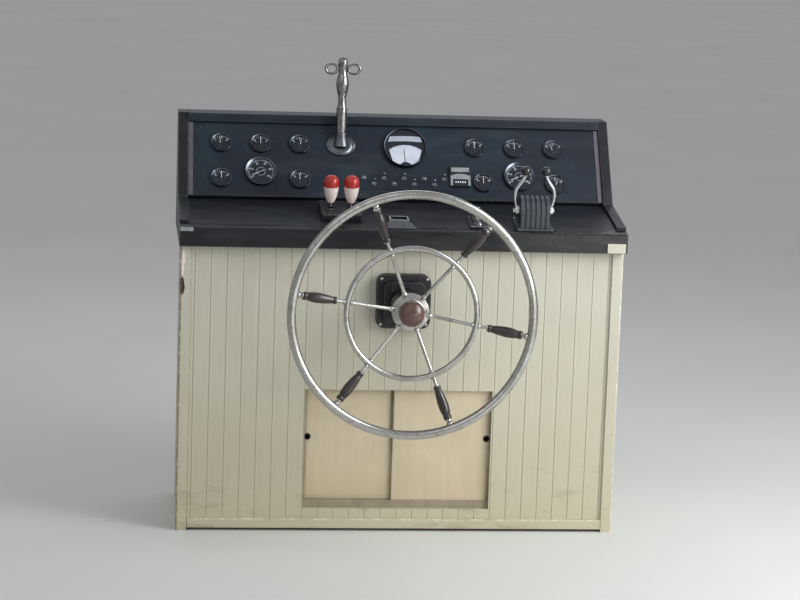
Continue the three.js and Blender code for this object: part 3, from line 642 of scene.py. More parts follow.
red_finish = gloss("red_plastic", (152, 26, 22), (188, 40, 32))
foot_finish = gloss("pink_white_plastic", (226, 200, 196), (244, 232, 228))
mark_finish = gloss("printed_marks", (222, 230, 244), (238, 243, 252), 0.5)
fan_finish = gloss("scale_white", (196, 203, 219), (212, 218, 230), 0.35)
bar_finish = gloss("label_grey", (158, 165, 181), (178, 185, 198), 0.35)
frame_finish = gloss("meter_grey", (130, 134, 140), (152, 156, 162), 0.4)
strip_finish = gloss("strip_grey", (78, 75, 84), (96, 92, 100), 0.4)
lens_finish = clear_lens()
print("small finishes: 8, all finishes:", len(bpy.data.materials))

# %% [markdown]
# ## The beadboard cabinet
#
# The front is tongued boards, forty millimetres from groove to groove, each with a small bead along its
# edge. A bump would draw the lines, but they would vanish at the outline and in the mesh, so the board is
# really cut: planes slice it along each groove, the middle line is pushed in, and the sharp lips are
# rounded. The doorway and the hole for the helm are then taken out with Booleans.

# %% Beadboard
BOARD = 40
BEAD = ((-2, 0), (0, 1.3), (2, 0), (6, 0), (7, 0.4), (8, 0))  # lines beside each groove, and their depths
BEFORE, BEHIND = 3, 9  # room that a groove and its bead need inside the board's edges
SIDE_TOP = 723.8


def beadboard(low, high, thickness, foot, top):
    """A grooved board across X whose face lies at depth 0."""
    board = block((low, 0, foot), (high, thickness, top))
    first = int(low // BOARD) * BOARD
    grooves = [at for at in range(first, int(high) + 1, BOARD) if low + BEFORE < at < high - BEHIND]
    lines = {at + offset: depth for at in grooves for offset, depth in BEAD}
    for x in lines:
        geometry = board.verts[:] + board.edges[:] + board.faces[:]
        bmesh.ops.bisect_plane(board, geom=geometry, plane_co=(x, 0, 0), plane_no=(1, 0, 0), dist=1e-5)
    for vert in board.verts:
        if vert.co.y < 0.01:
            vert.co.y += lines.get(round(vert.co.x), 0)
    upright = lambda edge: abs(edge.verts[0].co.z - edge.verts[1].co.z) > 100 and edge.verts[0].co.y < 0.01
    return round_edges(board, 0.45, 2, 12, only=upright)


doorway = block((-237, -20, 58), (237, 40, 364))
neck_hole = rod(41.3, -20, 40, 64)
neck_hole.transform(move(z=WHEEL_AXIS) @ BACKWARD)
front = cut(beadboard(-534.6, 534.6, 12, 8, 762), doorway, neck_hole)
make_piece("beadboard_front", front, [front_paint], "front_panel", sharp=22)
moulding = block((-527, -5, 8), (527, -0.1, 32))
top_front = lambda e: min(v.co.z for v in e.verts) > 30 and max(v.co.y for v in e.verts) < -4
round_edges(moulding, 3, 4, only=top_front)
make_piece("base_moulding", moulding, [trim_paint], "front_panel")

for side, name in SIDES:
    panel = beadboard(12.2, 399.8, 15, 0, SIDE_TOP)
    swing = Matrix(((0, -side, 0, side * 550), (1, 0, 0, 0), (0, 0, 1, 0), (0, 0, 0, 1)))
    panel.transform(swing)
    if side < 0:  # mirrored, so its faces have to be turned back
        bmesh.ops.reverse_faces(panel, faces=panel.faces)
    make_piece(f"beadboard_side_{name}", panel, [side_paint], f"side_panel_{name}", sharp=22)
print("beadboard pieces:", 4)

# %% [markdown]
# ## Corner trims
#
# An angle of painted timber covers each front corner. It is one outline pushed upwards, with the outer
# arris rounded over as a router leaves it. The port one is chipped near its top, where things are leaned on
# it: flaked paint, a bare dark patch and a brown rubbed edge. The nail heads are turned and stand a hair
# proud.

# %% Corner trims
ANGLE = [(528, -6), (556, -6), (556, 22), (550.1, 22), (550.1, -0.1), (528, -0.1)]
NAIL = [(0, 0.5), (1.4, 0.4), (1.9, 0), (1.9, -1), (0, -1)]
at_corner = lambda e: min(abs(v.co.x) for v in e.verts) > 555 and max(v.co.y for v in e.verts) < -5
at_rim = lambda e: abs(e.verts[0].co.z - e.verts[1].co.z) > 100 and not at_corner(e) and (
    max(v.co.y for v in e.verts) < -5 or min(v.co.y for v in e.verts) > 21
)
for (side, name), finish in zip(SIDES, (chipped_paint, trim_paint)):
    trim = pushed([(side * x, y, 0) for x, y in ANGLE], (0, 0, SIDE_TOP))
    round_edges(trim, 1.2, 2, only=at_rim)
    round_edges(trim, 4, 4, only=at_corner)
    make_piece(f"corner_post_{name}", trim, [finish], f"corner_trim_{name}")
    nails = [(turned(NAIL, 12), move(side * 541, -6, z) @ FORWARD, 0) for z in (60, 270, 480, 690)]
    make_piece(f"trim_nails_{name}", nails, [finish])
print("corner trims: 2, with 4 nail heads each")

# %% [markdown]
# ## Inside, back and sole boards
#
# The boards that carry the rest are plain sheets. Most packed ones have the right outline already, so they
# only get their finish. The back is cut anew with softened edges, and gets the screws in cup washers that
# hold it, because its edges and screws are all that shows from behind.

# %% Boards that stay
for node, finish in {
    "bottom_board": plywood_finish, "head_track": plywood_finish, "foot_track": track_finish,
    "toe_board": toe_finish, "instrument_panel": laminate_finish,
}.items():
    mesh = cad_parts[node].data
    mesh.materials.clear()
    mesh.materials.append(finish)


def screw(radius):
    """A domed screw head with a round socket."""
    dome = [(0.32, 0.4), (0.36, 1.5), (0.7, 1.3), (1, 0.5), (1, -0.6)]
    return turned([(0, 0.4), *[(radius * share, height) for share, height in dome], (0, -0.6)], 20)


def screws(radius, spots, height, finish=0):
    return [(screw(radius), move(x, y, height), finish) for x, y in spots]


WASHER = [(0, -1), (7.4, -1), (7.6, 0.2), (6.4, 1.1), (4.6, 1.3), (3.8, 0.8), (0, 0.8)]
back = block((-INSIDE, 391.1, 20.1), (INSIDE, DEPTH, 1002.9), 1.0, 3)
make_piece("plywood_back", back, [plywood_finish], "back_panel")
back_screws = []
for x in (-520, -260, 0, 260, 520):
    for z in (36, 360, 680, 985):
        at = move(x, DEPTH, z) @ BACKWARD
        back_screws += [(turned(WASHER, 28), at, 0), (screw(3.6), at @ move(z=0.7), 0)]
make_piece("back_screws", back_screws, [steel_finish])
print("boards that stay:", 5, "back screws:", len(back_screws) // 2)

# %% [markdown]
# ## The sliding doors
#
# Two tan boards hang in the head track and stand in the foot track, the port one behind the starboard one.
# Each is a thin block with softened edges and a finger hole bored near its outer edge, lined with a dark
# grommet.

# %% Sliding doors
GROMMET = [(5.2, 3.2), (8.2, 3.2), (8.6, 3.5), (8.2, 4.1), (5.6, 4.1), (5.2, 3.6), (5.2, 3.2)]
SLEEVE = [(5.2, -3.4), (6.4, -3.4), (6.4, 3.4), (5.2, 3.4), (5.2, -3.4)]
THICK = 6
for (side, name), depth in zip(SIDES, (25, 15)):
    body = f"door_{name}"
    low, high = sorted((-side * 12, side * 243))
    at_hole = move(side * 227.5, depth + THICK / 2, 238) @ FORWARD
    bore = rod(6.6, -20, 20, 40)
    bore.transform(at_hole)
    door = cut(block((low, depth, 70.3), (high, depth + THICK, 374), 1.0), bore)
    make_piece(f"tan_door_{name}", door, [door_finish], f"sliding_door_{name}", body=body)
    mirrored = [(radius, -z) for radius, z in reversed(GROMMET)]
    lining = [turned(profile, 40) for profile in (mirrored, GROMMET, SLEEVE)]
    make_piece(f"finger_grommet_{name}", lining, [rubber_finish], place=FACE @ at_hole, body=body)
print("doors ride on door_port and door_stbd")

# %% [markdown]
# ## The black dash
#
# Cheeks, desk, lip and ledge are laminated boards. Each is its side outline pushed across, with small
# rounded edges that catch the light, because a dark box with knife edges reads as a hole. Slim strips
# finish the joints: a grey one down each side of the panel and a dark one along the desk's front edge. A
# small block closes each end of the lip, grey at port and cream at starboard.

# %% Dash boards
STANDS = 8  # the cheeks' height over the desk and the panel
lean, slope = tan(PANEL_LEAN), tan(DESK_SLOPE)
drop = 18 / cos(DESK_SLOPE)
over_panel = lambda z: PANEL_Y + lean * (z - PANEL_Z) - STANDS / cos(PANEL_LEAN)
over_desk = lambda y: desk_at(y) + STANDS / cos(DESK_SLOPE)
bend = over_desk(over_panel(0)) / (1 - slope * lean)
cheek = [(0, 724.1), (DEPTH, 724.1), (DEPTH, LEDGE_TOP), (over_panel(LEDGE_TOP), LEDGE_TOP)]
cheek += [(over_panel(bend), bend), (0, over_desk(0))]
for side, name in SIDES:
    board = round_edges(side_on(cheek, side * 535.1, side * 24.9), 1.6, 3)
    make_piece(f"dash_cheek_{name}", board, [desk_finish], f"cheek_{name}")

desk = [(0.1, desk_at(0) - drop), (200, desk_at(200) - drop), (200, desk_at(200)), (0.1, desk_at(0))]
desk_board = round_edges(side_on(desk, -INSIDE, 2 * INSIDE), 0.5, 1)
make_piece("sloping_desk", desk_board, [desk_finish], "desk_top")
lip = side_on([(-LIP_REACH, 724), (0, 724), (0, desk_at(0)), (-LIP_REACH, LIP_TOP)], -560, 1120)
make_piece("front_lip", round_edges(lip, 2.2, 3), [lip_finish], "desk_lip")
ledge = block((-INSIDE, 306, 1003.1), (INSIDE, 399.9, LEDGE_TOP), 2.0, 3)
make_piece("top_ledge", ledge, [laminate_finish], "ledge")

strips = [block((side * 528.5 - 6, 12, 0.1), (side * 528.5 + 6, 222, 2.2), 0.8) for side, name in SIDES]
make_piece("panel_side_strips", strips, [strip_finish], place=on_panel(0, 0))
# A dark rubber bead across the panel's foot, which stands in for the shade line where the panel meets the
# desk.
bead = block((-520, 10.5, 0.1), (520, 15, 2.6), 1.0, 3)
make_piece("panel_foot_shade_bead", bead, [rubber_finish], place=on_panel(0, 0))
edge = block((-556, -1.4, -6.5), (556, 0.6, 0.2), 0.7)
make_piece("desk_edge_strip", edge, [plastic_finish], place=on_desk(0, -29.4))
for name, low, high, finish in (
    ("port", (-558, -36, 763), (-526, -30.1, 773), frame_finish),
    ("stbd", (508, -36, 726), (554, -30.1, 750), trim_paint),
):
    make_piece(f"lip_end_block_{name}", block(low, high, 1.2), [finish])
panel_screws = screws(2.8, [(x, up) for x in (-505, -195, -95, 505) for up in (24, 208)], 0)
make_piece("panel_screws", panel_screws, [bezel_finish], place=on_panel(0, 0))
print("dash boards: 5, strips and blocks: 6")

# %% [markdown]
# ## Round gauges
#
# A marine gauge is a can behind the panel, a polished bezel that slopes inwards in front, and a dial set
# back under a lens. The lathe gives the whole case in one profile. Ticks, numbers and the needle are thin
# raised shapes rather than a painted pattern, so that they stay crisp and cast a hair of shadow. Small
# gauges sweep a quarter turn over a half-round cover, and the two tachometers sweep most of the way round.

# %% Gauges
CASE, DIAL, MARK, LENS, COVER = range(5)
GAUGE_FINISHES = [rim_finish, dial_finish, mark_finish, lens_finish, cover_finish]


def arc(radius, start, end, steps, centre=(0, 0), z=0.0):
    """Points on a part of a circle, with angles from upright."""
    turns = [radians(start + (end - start) * i / steps) for i in range(steps + 1)]
    return [(centre[0] + radius * sin(t), centre[1] + radius * cos(t), z) for t in turns]


def paint_dial(case, reach, face):
    """Gives the floor of a case the dial's finish."""
    for part in case.faces:
        inside = max(vert.co.xy.length for vert in part.verts) < reach
        if inside and part.calc_center_median().z > face - 0.01 and part.normal.z > 0.9:
            part.material_index = DIAL


def gauge_case(bezel, can, depth, proud, face, sides):
    """Can, bezel and floor of the dial as one turned shape."""
    inner = bezel - 0.16 * bezel
    steps = ((0, 0.45), (0.4, 0.82), (1.2, 1), (1.9, 0.97), (0.16 * bezel, 0.68))
    slope_in = curve([(bezel - inwards, proud * share) for inwards, share in steps], 3)
    outline = [(0, -depth), (can - 1, -depth), (can, 1 - depth), (can, 0.3), (bezel - 0.4, 0.3), (bezel, 0.7)]
    case = turned([*outline, *slope_in, (inner, face), (0, face)], sides)
    paint_dial(case, inner + 0.01, face)
    return case, inner


def lens(radius, height, dome):
    """A thin clear disc, crowned in the middle."""
    rise = lambda share: height + 0.6 + dome * share
    profile = [(0, height), (radius, height), (radius, height + 0.6), (radius * 0.7, rise(0.6))]
    return turned([*profile, (radius * 0.35, rise(0.92)), (0, height + 0.6 + dome)], 48)


def blade(wide, slim, foot, tip, height):
    """A thin pointer that narrows to its tip."""
    corners = ((-wide, foot), (wide, foot), (slim, tip), (-slim, tip))
    return pushed([(x, y, height) for x, y in corners], (0, 0, 0.5))


def needle(length, tail, width, height, turn, middle=Matrix()):
    """A tapered pointer with its round boss, turned about the middle."""
    foot = height - 0.2
    boss = turned([(0, foot), (width * 2.6, foot), (width * 2.4, height + 1.0), (0, height + 1.3)], 20)
    pointer = blade(width, width * 0.35, -tail, length, height)
    return [(pointer, middle @ roll(radians(turn)), MARK), (boss, middle, CASE)]


def numeral(digits, height, at):
    """A plain printed number, centred on a point of the dial."""
    writing = bpy.data.curves.new("numeral", "FONT")
    writing.body, writing.size, writing.extrude, writing.resolution_u = digits, height, 0.12, 2
    writing.align_x = writing.align_y = "CENTER"
    writer = bpy.data.objects.new("numeral", writing)
    mesh = bpy.data.meshes.new_from_object(writer)
    shape = new_shape()
    shape.from_mesh(mesh)
    bpy.data.objects.remove(writer)
    bpy.data.curves.remove(writing)
    bpy.data.meshes.remove(mesh)
    return shape, move(*at), MARK


HALF_TICK, SHORT_TICK = 0.4, 1.2


def scale_marks(reach, face, start, sweep, marks, numbers, size, drop=0):
    """Ticks on an arc, and numbers inside it. Angles run from upright, to the left first."""
    parts = []
    for i in range(marks):
        long = i % ((marks - 1) // (len(numbers) - 1)) == 0
        half = HALF_TICK * (1 + long)
        foot = reach - (SHORT_TICK + size * 0.6 * (1 + long) / 2)
        tick = block((-half, foot, face - 0.1), (half, reach, face + 0.25))
        parts.append((tick, move(y=drop) @ roll(radians(start - i * sweep / (marks - 1))), MARK))
    inward = reach - SHORT_TICK - size * 1.25
    for i, digits in enumerate(numbers):
        turn = radians(start - i * sweep / (len(numbers) - 1))
        parts.append(numeral(digits, size, (-inward * sin(turn), drop + inward * cos(turn), face + 0.12)))
    return parts


def round_gauge(name, node, across, up, kind, reading, numbers):
    bezel, can, depth, proud, sides = kind
    numbers = numbers.split()
    face = proud * 0.35
    case, inner = gauge_case(bezel, can, depth, proud, face, sides)
    parts = [(case, Matrix(), None)]
    if kind == LARGE:
        start, sweep = 125, 250
        parts += scale_marks(inner - 1.4, face, start, sweep, 6 * len(numbers) - 5, numbers, 6.8)
        parts += needle(inner * 0.74, inner * 0.2, 1.1, face + 0.5, start - reading * sweep)
        parts.append((ring(inner * 0.33, 0.3, 40, 6), move(z=face), MARK))
    else:
        start, sweep, drop = 44, 88, -8
        parts += scale_marks(27.6, face, start, sweep, 9, numbers, 4.8, drop)
        below = arc(inner - 0.3, 139, 221, 10, z=face)
        cover = pushed([*arc(15.5, -95, 95, 20, (0, 2 * drop), face), *below], (0, 0, 1.5))
        parts.append((round_edges(cover, 0.3, 1, 60), Matrix(), COVER))
        parts += needle(23, 3, 0.9, face + 0.5, start - reading * sweep, move(y=drop))
    parts.append((lens(inner - 0.1, proud * 0.66, proud * 0.1), Matrix(), LENS))
    make_piece(name, parts, GAUGE_FINISHES, node, on_panel(across, up))


# Radius of the bezel and of the can, depth behind and height above the panel, and sides.
SMALL, LARGE = (27, 23, 45, 7, 64), (41, 36, 60, 9, 80)
UPPER, LOWER = ("0 40 80", "10 13 16", "0 2 4"), ("50 85 120", "50 85 120")
for row, side, up, places, readings, dials in (
    ("upper", "port", 163, (-450, -349, -248), (0.35, 0.5, 0.62), UPPER),
    ("upper", "stbd", 163, (207, 310, 413), (0.44, 0.56, 0.3), UPPER),
    ("lower", "port", 62, (-450, -248), (0.5, 0.4), LOWER),
    ("lower", "stbd", 62, (226, 413), (0.48, 0.7), LOWER),
):
    for i, (across, reading, numbers) in enumerate(zip(places, readings, dials), 1):
        round_gauge(f"{row}_{side}_gauge_{i}", f"gauge_{row}_{side}_{i}", across, up, SMALL, reading, numbers)
for side, across in (("port", -349), ("stbd", 320)):
    round_gauge(f"{side}_tachometer", f"tachometer_{side}", across, 82, LARGE, 0.04, "0 10 20 30 40 50")
print("round gauges: 10 small and 2 large")

# %% [markdown]
# ## The centre meter
#
# The big meter in the middle shows the rudder's angle on a pale fan, with a grey band arched over it. Both
# are flat shapes on the dial with their own outlines, drawn from a few points and arcs and then given a
# thickness.

# %% Centre meter
METER_FACE = 4.4
METER_CASE = [
    (0, -55), (49, -55), (50, -54), (50, 0.3), (56.5, 0.3), (57, 0.8), (57, 7), (56.4, 10), (55, 11.7),
    (53.6, 11.2), (53.2, 9), (53.2, METER_FACE), (0, METER_FACE),
]
PIVOT = -62  # below the meter's middle


def centre_meter():
    face = METER_FACE
    case = turned(METER_CASE, 96)
    paint_dial(case, 53.3, face)
    top, notch = arc(70, -37, 37, 14, (0, PIVOT), face), arc(17, 70, -70, 8, (0, -58), face)
    fan = pushed([*top, (34, -38, face), *notch, (-34, -38, face)], (0, 0, 0.7))
    band_top, band_foot = arc(480, -4.78, 4.78, 12, (0, -446), face), arc(480, 5.3, -5.3, 12, (0, -461), face)
    band = pushed([*band_top, *band_foot], (0, 0, 0.9))
    parts = [(case, Matrix(), None), (fan, Matrix(), 2), (band, Matrix(), 3)]
    for i in range(13):
        tick = block((-0.4, 68 - (3.5 if i % 3 else 6), face + 0.6), (0.4, 68, face + 0.95))
        parts.append((tick, move(y=PIVOT) @ roll(radians(33 - i * 5.5)), 0))
    parts.append((blade(1.0, 0.35, 18, 60, face + 1.1), move(y=PIVOT) @ roll(radians(3)), 0))
    return [*parts, (lens(53.0, 7.6, 1.6), Matrix(), 4)]


make_piece("centre_meter", centre_meter(), [rim_finish, dial_finish, fan_finish, bar_finish, lens_finish],
           "rudder_indicator", on_panel(25, 158))
print("the fan is", 2 * round(70 * sin(radians(37))), "mm wide")

# %% [markdown]
# ## Hour meter and toggles
#
# The square hour meter has a grey label band over a window in a frame of the same grey, arched at its top.
# Below the centre meter nine toggles stand in two staggered rows on one black plate. A toggle is a
# six-sided nut, a threaded bush and a bat that swells to its tip, so its parts are turned one by one and
# tipped up or down as they were left.

# %% Hour meter


def hour_meter():
    case = block((-27, -29, 0.3), (27, 29, 7.6), 1.4, 3)
    can = block((-22, -24, -40), (22, 24, 1))
    label = block((-23, 11.5, 7.2), (23, 24.5, 8.6), 0.8)
    arch = arc(62, -24.5, 24.5, 10, (0, -56), 7.2)
    hood = pushed([*arch, (25.7, -9.5, 7.2), (-25.7, -9.5, 7.2)], (0, 0, 1.7))
    legs = [block((x - 3, -28, 7.2), (x + 3, -8.5, 8.8), 0.6) for x in (-22.8, 22.8)]
    window = block((-19.8, -26, 7.0), (19.8, -9, 7.9), 0.4, 1)
    parts = [case, can, (label, Matrix(), 1), (round_edges(hood, 0.5), Matrix(), 1), window]
    parts += [(leg, Matrix(), 1) for leg in legs]
    for x in range(-12, 13, 6):
        wheel = turned([(0, -1.6), (3.2, -1.6), (3.4, 0), (3.2, 1.6), (0, 1.6)], 20)
        parts.append((wheel, move(x, -17.5, 5.6) @ SIDEWAYS, 2))
    return parts


make_piece("square_hour_meter", hour_meter(), [bezel_finish, frame_finish, mark_finish], "hour_meter",
           on_panel(165, 78))
print("hour meter: 54 by 58 mm")

# %% Toggles
NUT = [(0, 0), (7, 0), (7.4, 0.5), (7.4, 2.2), (6.8, 2.8), (4.2, 2.8), (0, 2.8)]
THREAD = [(4.4 - 0.35 * (i % 2), 2.9 + i * 0.35) for i in range(8)]
BUSH = [(0, 2.0), (4.4, 2.6), *THREAD, (3.6, 6.0), (0, 6.3)]
BAT = [(0, 3), *curve([(1.7, 3), (1.8, 8), (2.3, 12), (2.9, 16), (2.5, 18), (1.3, 18.8)], 3), (0, 19)]
parts = [block((-117, 40, 0.3), (117, 82, 2.3), 0.8)]
for i in range(9):
    at = move((i - 4) * 26, 53 if i % 2 else 69, 2.3)
    tipped = at @ move(z=0.5) @ roll(-0.4 if i % 3 else 0.4, "X")
    parts += [(turned(NUT, 6), at, 1), (turned(BUSH, 24), at, 1), (turned(BAT, 20), tipped, 1)]
parts += screws(2.6, ((-111, 61), (111, 61)), 2.3)
make_piece("toggle_row", parts, [laminate_finish, chrome_finish], "switch_bank",
           on_panel(19, 0))
print("toggles: 9")

# %% [markdown]
# ## The searchlight handle
#
# The lamp on the roof is turned from inside by an upright chromed handle with two finger loops. Its stem is
# a lathe's work, swelling and necking, and each loop is a ring of round bar. The flange lies on the sloping
# panel while the stem stands upright, so the flange is turned on its own and then tipped under the boss.

# %% Searchlight handle
UP_PANEL, BOSS_HEIGHT = 163, 34
HANDLE_FOOT = PANEL_Z + UP_PANEL * cos(PANEL_LEAN)
UPRIGHT = FACE @ move(-142, PANEL_Y + UP_PANEL * sin(PANEL_LEAN), HANDLE_FOOT)
FLANGE = [
    (0, 0.3), (36, 0.3), (38, 1.0), (38, 2.6), (36.4, 4.4), (33.5, 4.9), (31.5, 3.6), (29.5, 3.9), (26, 5.6),
    (23, 6.4), (0, 6.4),
]
BOSS = curve([(21, 0), (18.4, 9), (15.6, 20), (15, 30), (14.2, 33.4)], 4)
STEM = curve([
    (13, 0.3), (14, 3), (14, 30), (13.9, 58), (11.4, 70), (10.8, 84), (11.2, 96), (14.6, 108), (16.6, 118),
    (17, 128), (14.8, 140), (12, 149), (11, 160), (12.4, 170), (13, 176), (12.4, 184), (9, 190.5), (4, 194.2),
], 3)
flange = turned(FLANGE, 72)
for vert in flange.verts:  # the flange is a little narrower up the panel than across it
    vert.co.y *= 1 - 0.2 * min(1, max(0, (vert.co.xy.length - 22) / 16))
boss = turned([(0, 0), *BOSS, (7, 34), (6.4, 33.2), (6.4, 12), (0, 12)], 48)
low_half = block((-60, -60, -60), (60, 60, 0.3))
low_half.transform(LEANING)
parts = [(flange, LEANING, 0), cut(boss, low_half)]
parts += [(screw(3.2), LEANING @ roll(turn) @ move(31, 0, 3.4), 0) for turn in (0, pi)]
make_piece("handle_flange", parts, [flange_finish], "handle_bearing", UPRIGHT, sharp=40)

stem = turned([(0, -24), (5.5, -24), (6, -23.4), (6, 0.3), *STEM, (0, 194.8)], 56)
parts = [stem, (ring(14.6, 1.4, 56, 10), move(z=62), 0), (ring(12.2, 1.2, 56, 10), move(z=99), 0)]
for side, name in SIDES:
    loop_place = move(side * 29, 0, 164) @ FORWARD @ Matrix.Diagonal((1, 12.5 / 15, 1, 1))
    parts.append((ring(15, 4, 48, 14), loop_place, 0))
make_piece("searchlight_grip", parts, [handle_finish], "searchlight_handle",
           UPRIGHT @ move(z=BOSS_HEIGHT), "handle", 40)
print("the handle stands", round(HANDLE_FOOT + BOSS_HEIGHT + 195), "mm above the sole")

# %% [markdown]
# ## The throttles
#
# Two levers stand side by side in a low black base, each with a pear-shaped knob, red above and pinkish
# white below. The base is a block with a slot for each lever, cut right down, and the knobs are turned in
# two colours.

# %% Throttles
THROTTLE = on_desk(-155, 90)
APART = 25.5  # from the middle to each lever
RED_FROM = 40
PEAR = curve([
    (8.4, 0), (11.6, 6), (15.6, 18), (18.2, 31), (19.3, 41), (19.5, 48), (18.7, 56), (15.8, 63.2),
    (9.6, 68.2),
], 4)
slot_tool = lambda side, foot: block((side * APART - 6.6, -17, foot), (side * APART + 6.6, 17, 30))
parts = [cut(block((-52, -58, 0.3), (52, 58, 18), 4.0, 4), *[slot_tool(side, -5) for side, name in SIDES])]
for side, name in SIDES:
    rim = block((side * APART - 9.4, -20, 17.8), (side * APART + 9.4, 20, 19.2), 0.6)
    parts.append((cut(rim, slot_tool(side, 10)), Matrix(), 1))
    parts += screws(2.8, [(side * 44, y) for y in (-50, 50)], 17.8, 1)
make_piece("throttle_box", parts, [plastic_finish, chrome_finish], "throttle_base",
           THROTTLE)

for side, name in SIDES:
    body, pivot = f"throttle_{name}", THROTTLE @ move(side * APART, 0, 8)
    barrel = turned([(0, -6), (6.2, -6), (7, -5.2), (7, 5.2), (6.2, 6), (0, 6)], 40)
    pin = turned([(0, -12), (2.1, -12), (2.5, -11.6), (2.5, 11.6), (2.1, 12), (0, 12)], 20)
    shaft = turned([(0, 0), (4, 0), (4, 19), (5.6, 20), (5.6, 23.2), (0, 23.6)], 28)
    lever = [(barrel, SIDEWAYS, 0), (pin, SIDEWAYS, 0), shaft]
    make_piece(f"throttle_rod_{name}", lever, [chrome_finish], f"throttle_lever_{name}", pivot,
               body)
    knob = turned([(0, 0), (7.2, 0), *PEAR, (4.5, 69.8), (0, 70)], 48)
    for face in knob.faces:
        face.material_index = 1 if face.calc_center_median().z < RED_FROM else 0
    collar = turned([(0, -0.6), (7.6, -0.6), (8.4, 0.4), (8.4, 3.4), (7.6, 4.2), (0, 4.2)], 36)
    whole = [(knob, Matrix(), None), (ring(18.95, 0.6, 48, 8), move(z=40.6), 1), (collar, Matrix(), 2)]
    make_piece(f"throttle_pear_{name}", whole, [red_finish, foot_finish, chrome_finish],
               f"throttle_knob_{name}", pivot @ move(z=24), body)
print("throttle knobs ride on throttle_port and throttle_stbd")

# %% [markdown]
# ## The shift levers
#
# A ribbed grey-black drum on a flange carries a chromed arm on each side that bows out and then in, with a
# dark ball on its end. The ribs are made by pushing one outline along in short steps and drawing it in for
# every second step. The arms are flat rings bridged along a smooth path, which gives the true bow that a
# bent tube has.

# %% Shift pedestal
DRUM_RADIUS, DRUM_AXIS = 38, 40
DRAWN_TO = 12  # the height that a groove is drawn in towards
EDGE, WALL = 0.8, 0.7  # widths of a rib's edge and of a groove's slanting wall


def ribbed_drum(half, ribs, groove, draw):
    """A domed section pushed across in steps, narrower in the grooves."""
    shape = new_shape()
    turns = [radians(angle) for angle in range(8, 180, 8)]
    dome = [(DRUM_RADIUS * cos(turn), DRUM_AXIS + DRUM_RADIUS * sin(turn)) for turn in turns]
    outline = [(-42, 0.3), (42, 0.3), (DRUM_RADIUS, DRUM_AXIS), *dome, (-DRUM_RADIUS, DRUM_AXIS)]
    first = face = shape.faces.new([shape.verts.new((-half, y, z)) for y, z in outline])
    rib = (2 * half - (ribs - 1) * groove) / ribs
    across_rib = [(EDGE, 1.0), (rib - 2 * EDGE, 1.0), (EDGE, 1.0)]
    across_groove = [(WALL, draw), (groove - 2 * WALL, 1.0), (WALL, 1 / draw)]
    for along, scale in [*(across_rib + across_groove) * (ribs - 1), *across_rib]:
        corners, face = push_face(shape, face, (along, 0, 0), keep=face == first)
        for vert in corners:
            vert.co.y *= scale
            if vert.co.z > 1:
                vert.co.z = DRAWN_TO + (vert.co.z - DRAWN_TO) * scale
    return outward(shape)


SHIFT = on_desk(325, 26)
drum = ribbed_drum(36, 6, 4.2, 0.93)
print("the drum is closed:", is_closed(drum), "and holds", round(drum.calc_volume() / 1000), "cc")
parts = [drum, block((-46, -50, 0.3), (46, 50, 6), 2.0, 3)]
parts += screws(3.0, [(x, y) for x in (-41, 41) for y in (-45, 45)], 5.7, 1)
make_piece("shift_drum", parts, [drum_finish, chrome_finish], "shift_pedestal",
           SHIFT, sharp=28)

BALL = [(12 * cos(radians(a)), 12 * sin(radians(a))) for a in range(-58, 86, 8)]
for side, name in SIDES:
    body, pivot = f"shift_{name}", SHIFT @ move(z=DRUM_AXIS) @ roll(0 if side > 0 else pi)
    hub = turned([(0, 36.9), (13, 37), (14, 38), (14, 46), (12.6, 48), (7, 48.6), (0, 49)], 40)
    stub = turned([(0, 23), (4.6, 23), (5, 23.4), (5, 37.5), (0, 37.5)], 24)
    nut = turned([(0, 48.4), (5.6, 48.4), (5.9, 48.9), (5.9, 51.8), (5.2, 52.4), (0, 52.4)], 6)
    path = smooth_path([(42, 0, 6), (49, 0, 32), (47.4, 0, 54), (32.6, 0, 78), (25.7, 0, 92.6)], 6)
    arm = bent_bar(path, [6.4 - 1.4 * i / (len(path) - 1) for i in range(len(path))], 20, 0.84)
    lever = [*[(shape, SIDEWAYS, 0) for shape in (hub, stub, nut)], arm]
    make_piece(f"shift_arm_{name}", lever, [arm_finish], f"shift_lever_{name}", pivot, body, 40)
    collar = turned([(0, -11.2), (6.2, -11.2), (7, -10.4), (7, -8.4), (6.2, -7.4), (0, -7.4)], 32)
    knob = [turned([(0, -10.2), *BALL, (0, 12)], 36), (collar, Matrix(), 1)]
    make_piece(f"shift_ball_{name}", knob, [bezel_finish, chrome_finish], f"shift_knob_{name}",
               pivot @ move(25.5, 0, 103), body)
print("shift levers ride on shift_port and shift_stbd")

# %% [markdown]
# ## Key switches and ash tray
#
# Two engine switches sit one behind the other on a narrow plate with a bright bar at its near end, and a
# small dull steel ash tray with a bright rim stands beside them. The tray starts as a block whose top is
# drawn in, then its mouth is inset and pushed down.

# %% Key switches
BARREL = [(0, 0.2), (12, 0.2), (12, 5.6), (11.2, 7.2), (9.6, 7.6), (9.4, 11.6), (8.6, 12.2), (0, 12.2)]
BOW = [(0, -1.3), (9.4, -1.3), (10, -0.8), (10, 0.8), (9.4, 1.3), (0, 1.3)]
plate, bar = block((-23, -46, 0.3), (23, 46, 2.5), 0.9), block((-23, -46, 1.8), (23, -38, 6.2), 1.6, 3)
parts = [(plate, Matrix(), 1), bar]
for y in (-22, 22):
    parts += [
        (turned(BARREL, 44), move(y=y), 0), (block((-3.6, -1.1, 11.5), (3.6, 1.1, 19), 0.3, 1), move(y=y), 0),
        (turned(BOW, 36), move(0, y, 26) @ FORWARD, 0),
    ]
parts += screws(2.4, ((-17, 41), (17, 41)), 2.3)
make_piece("key_switch_plate", parts, [chrome_finish, plastic_finish], "ignition_switches",
           on_desk(187, 40))
print("key switches: 2")

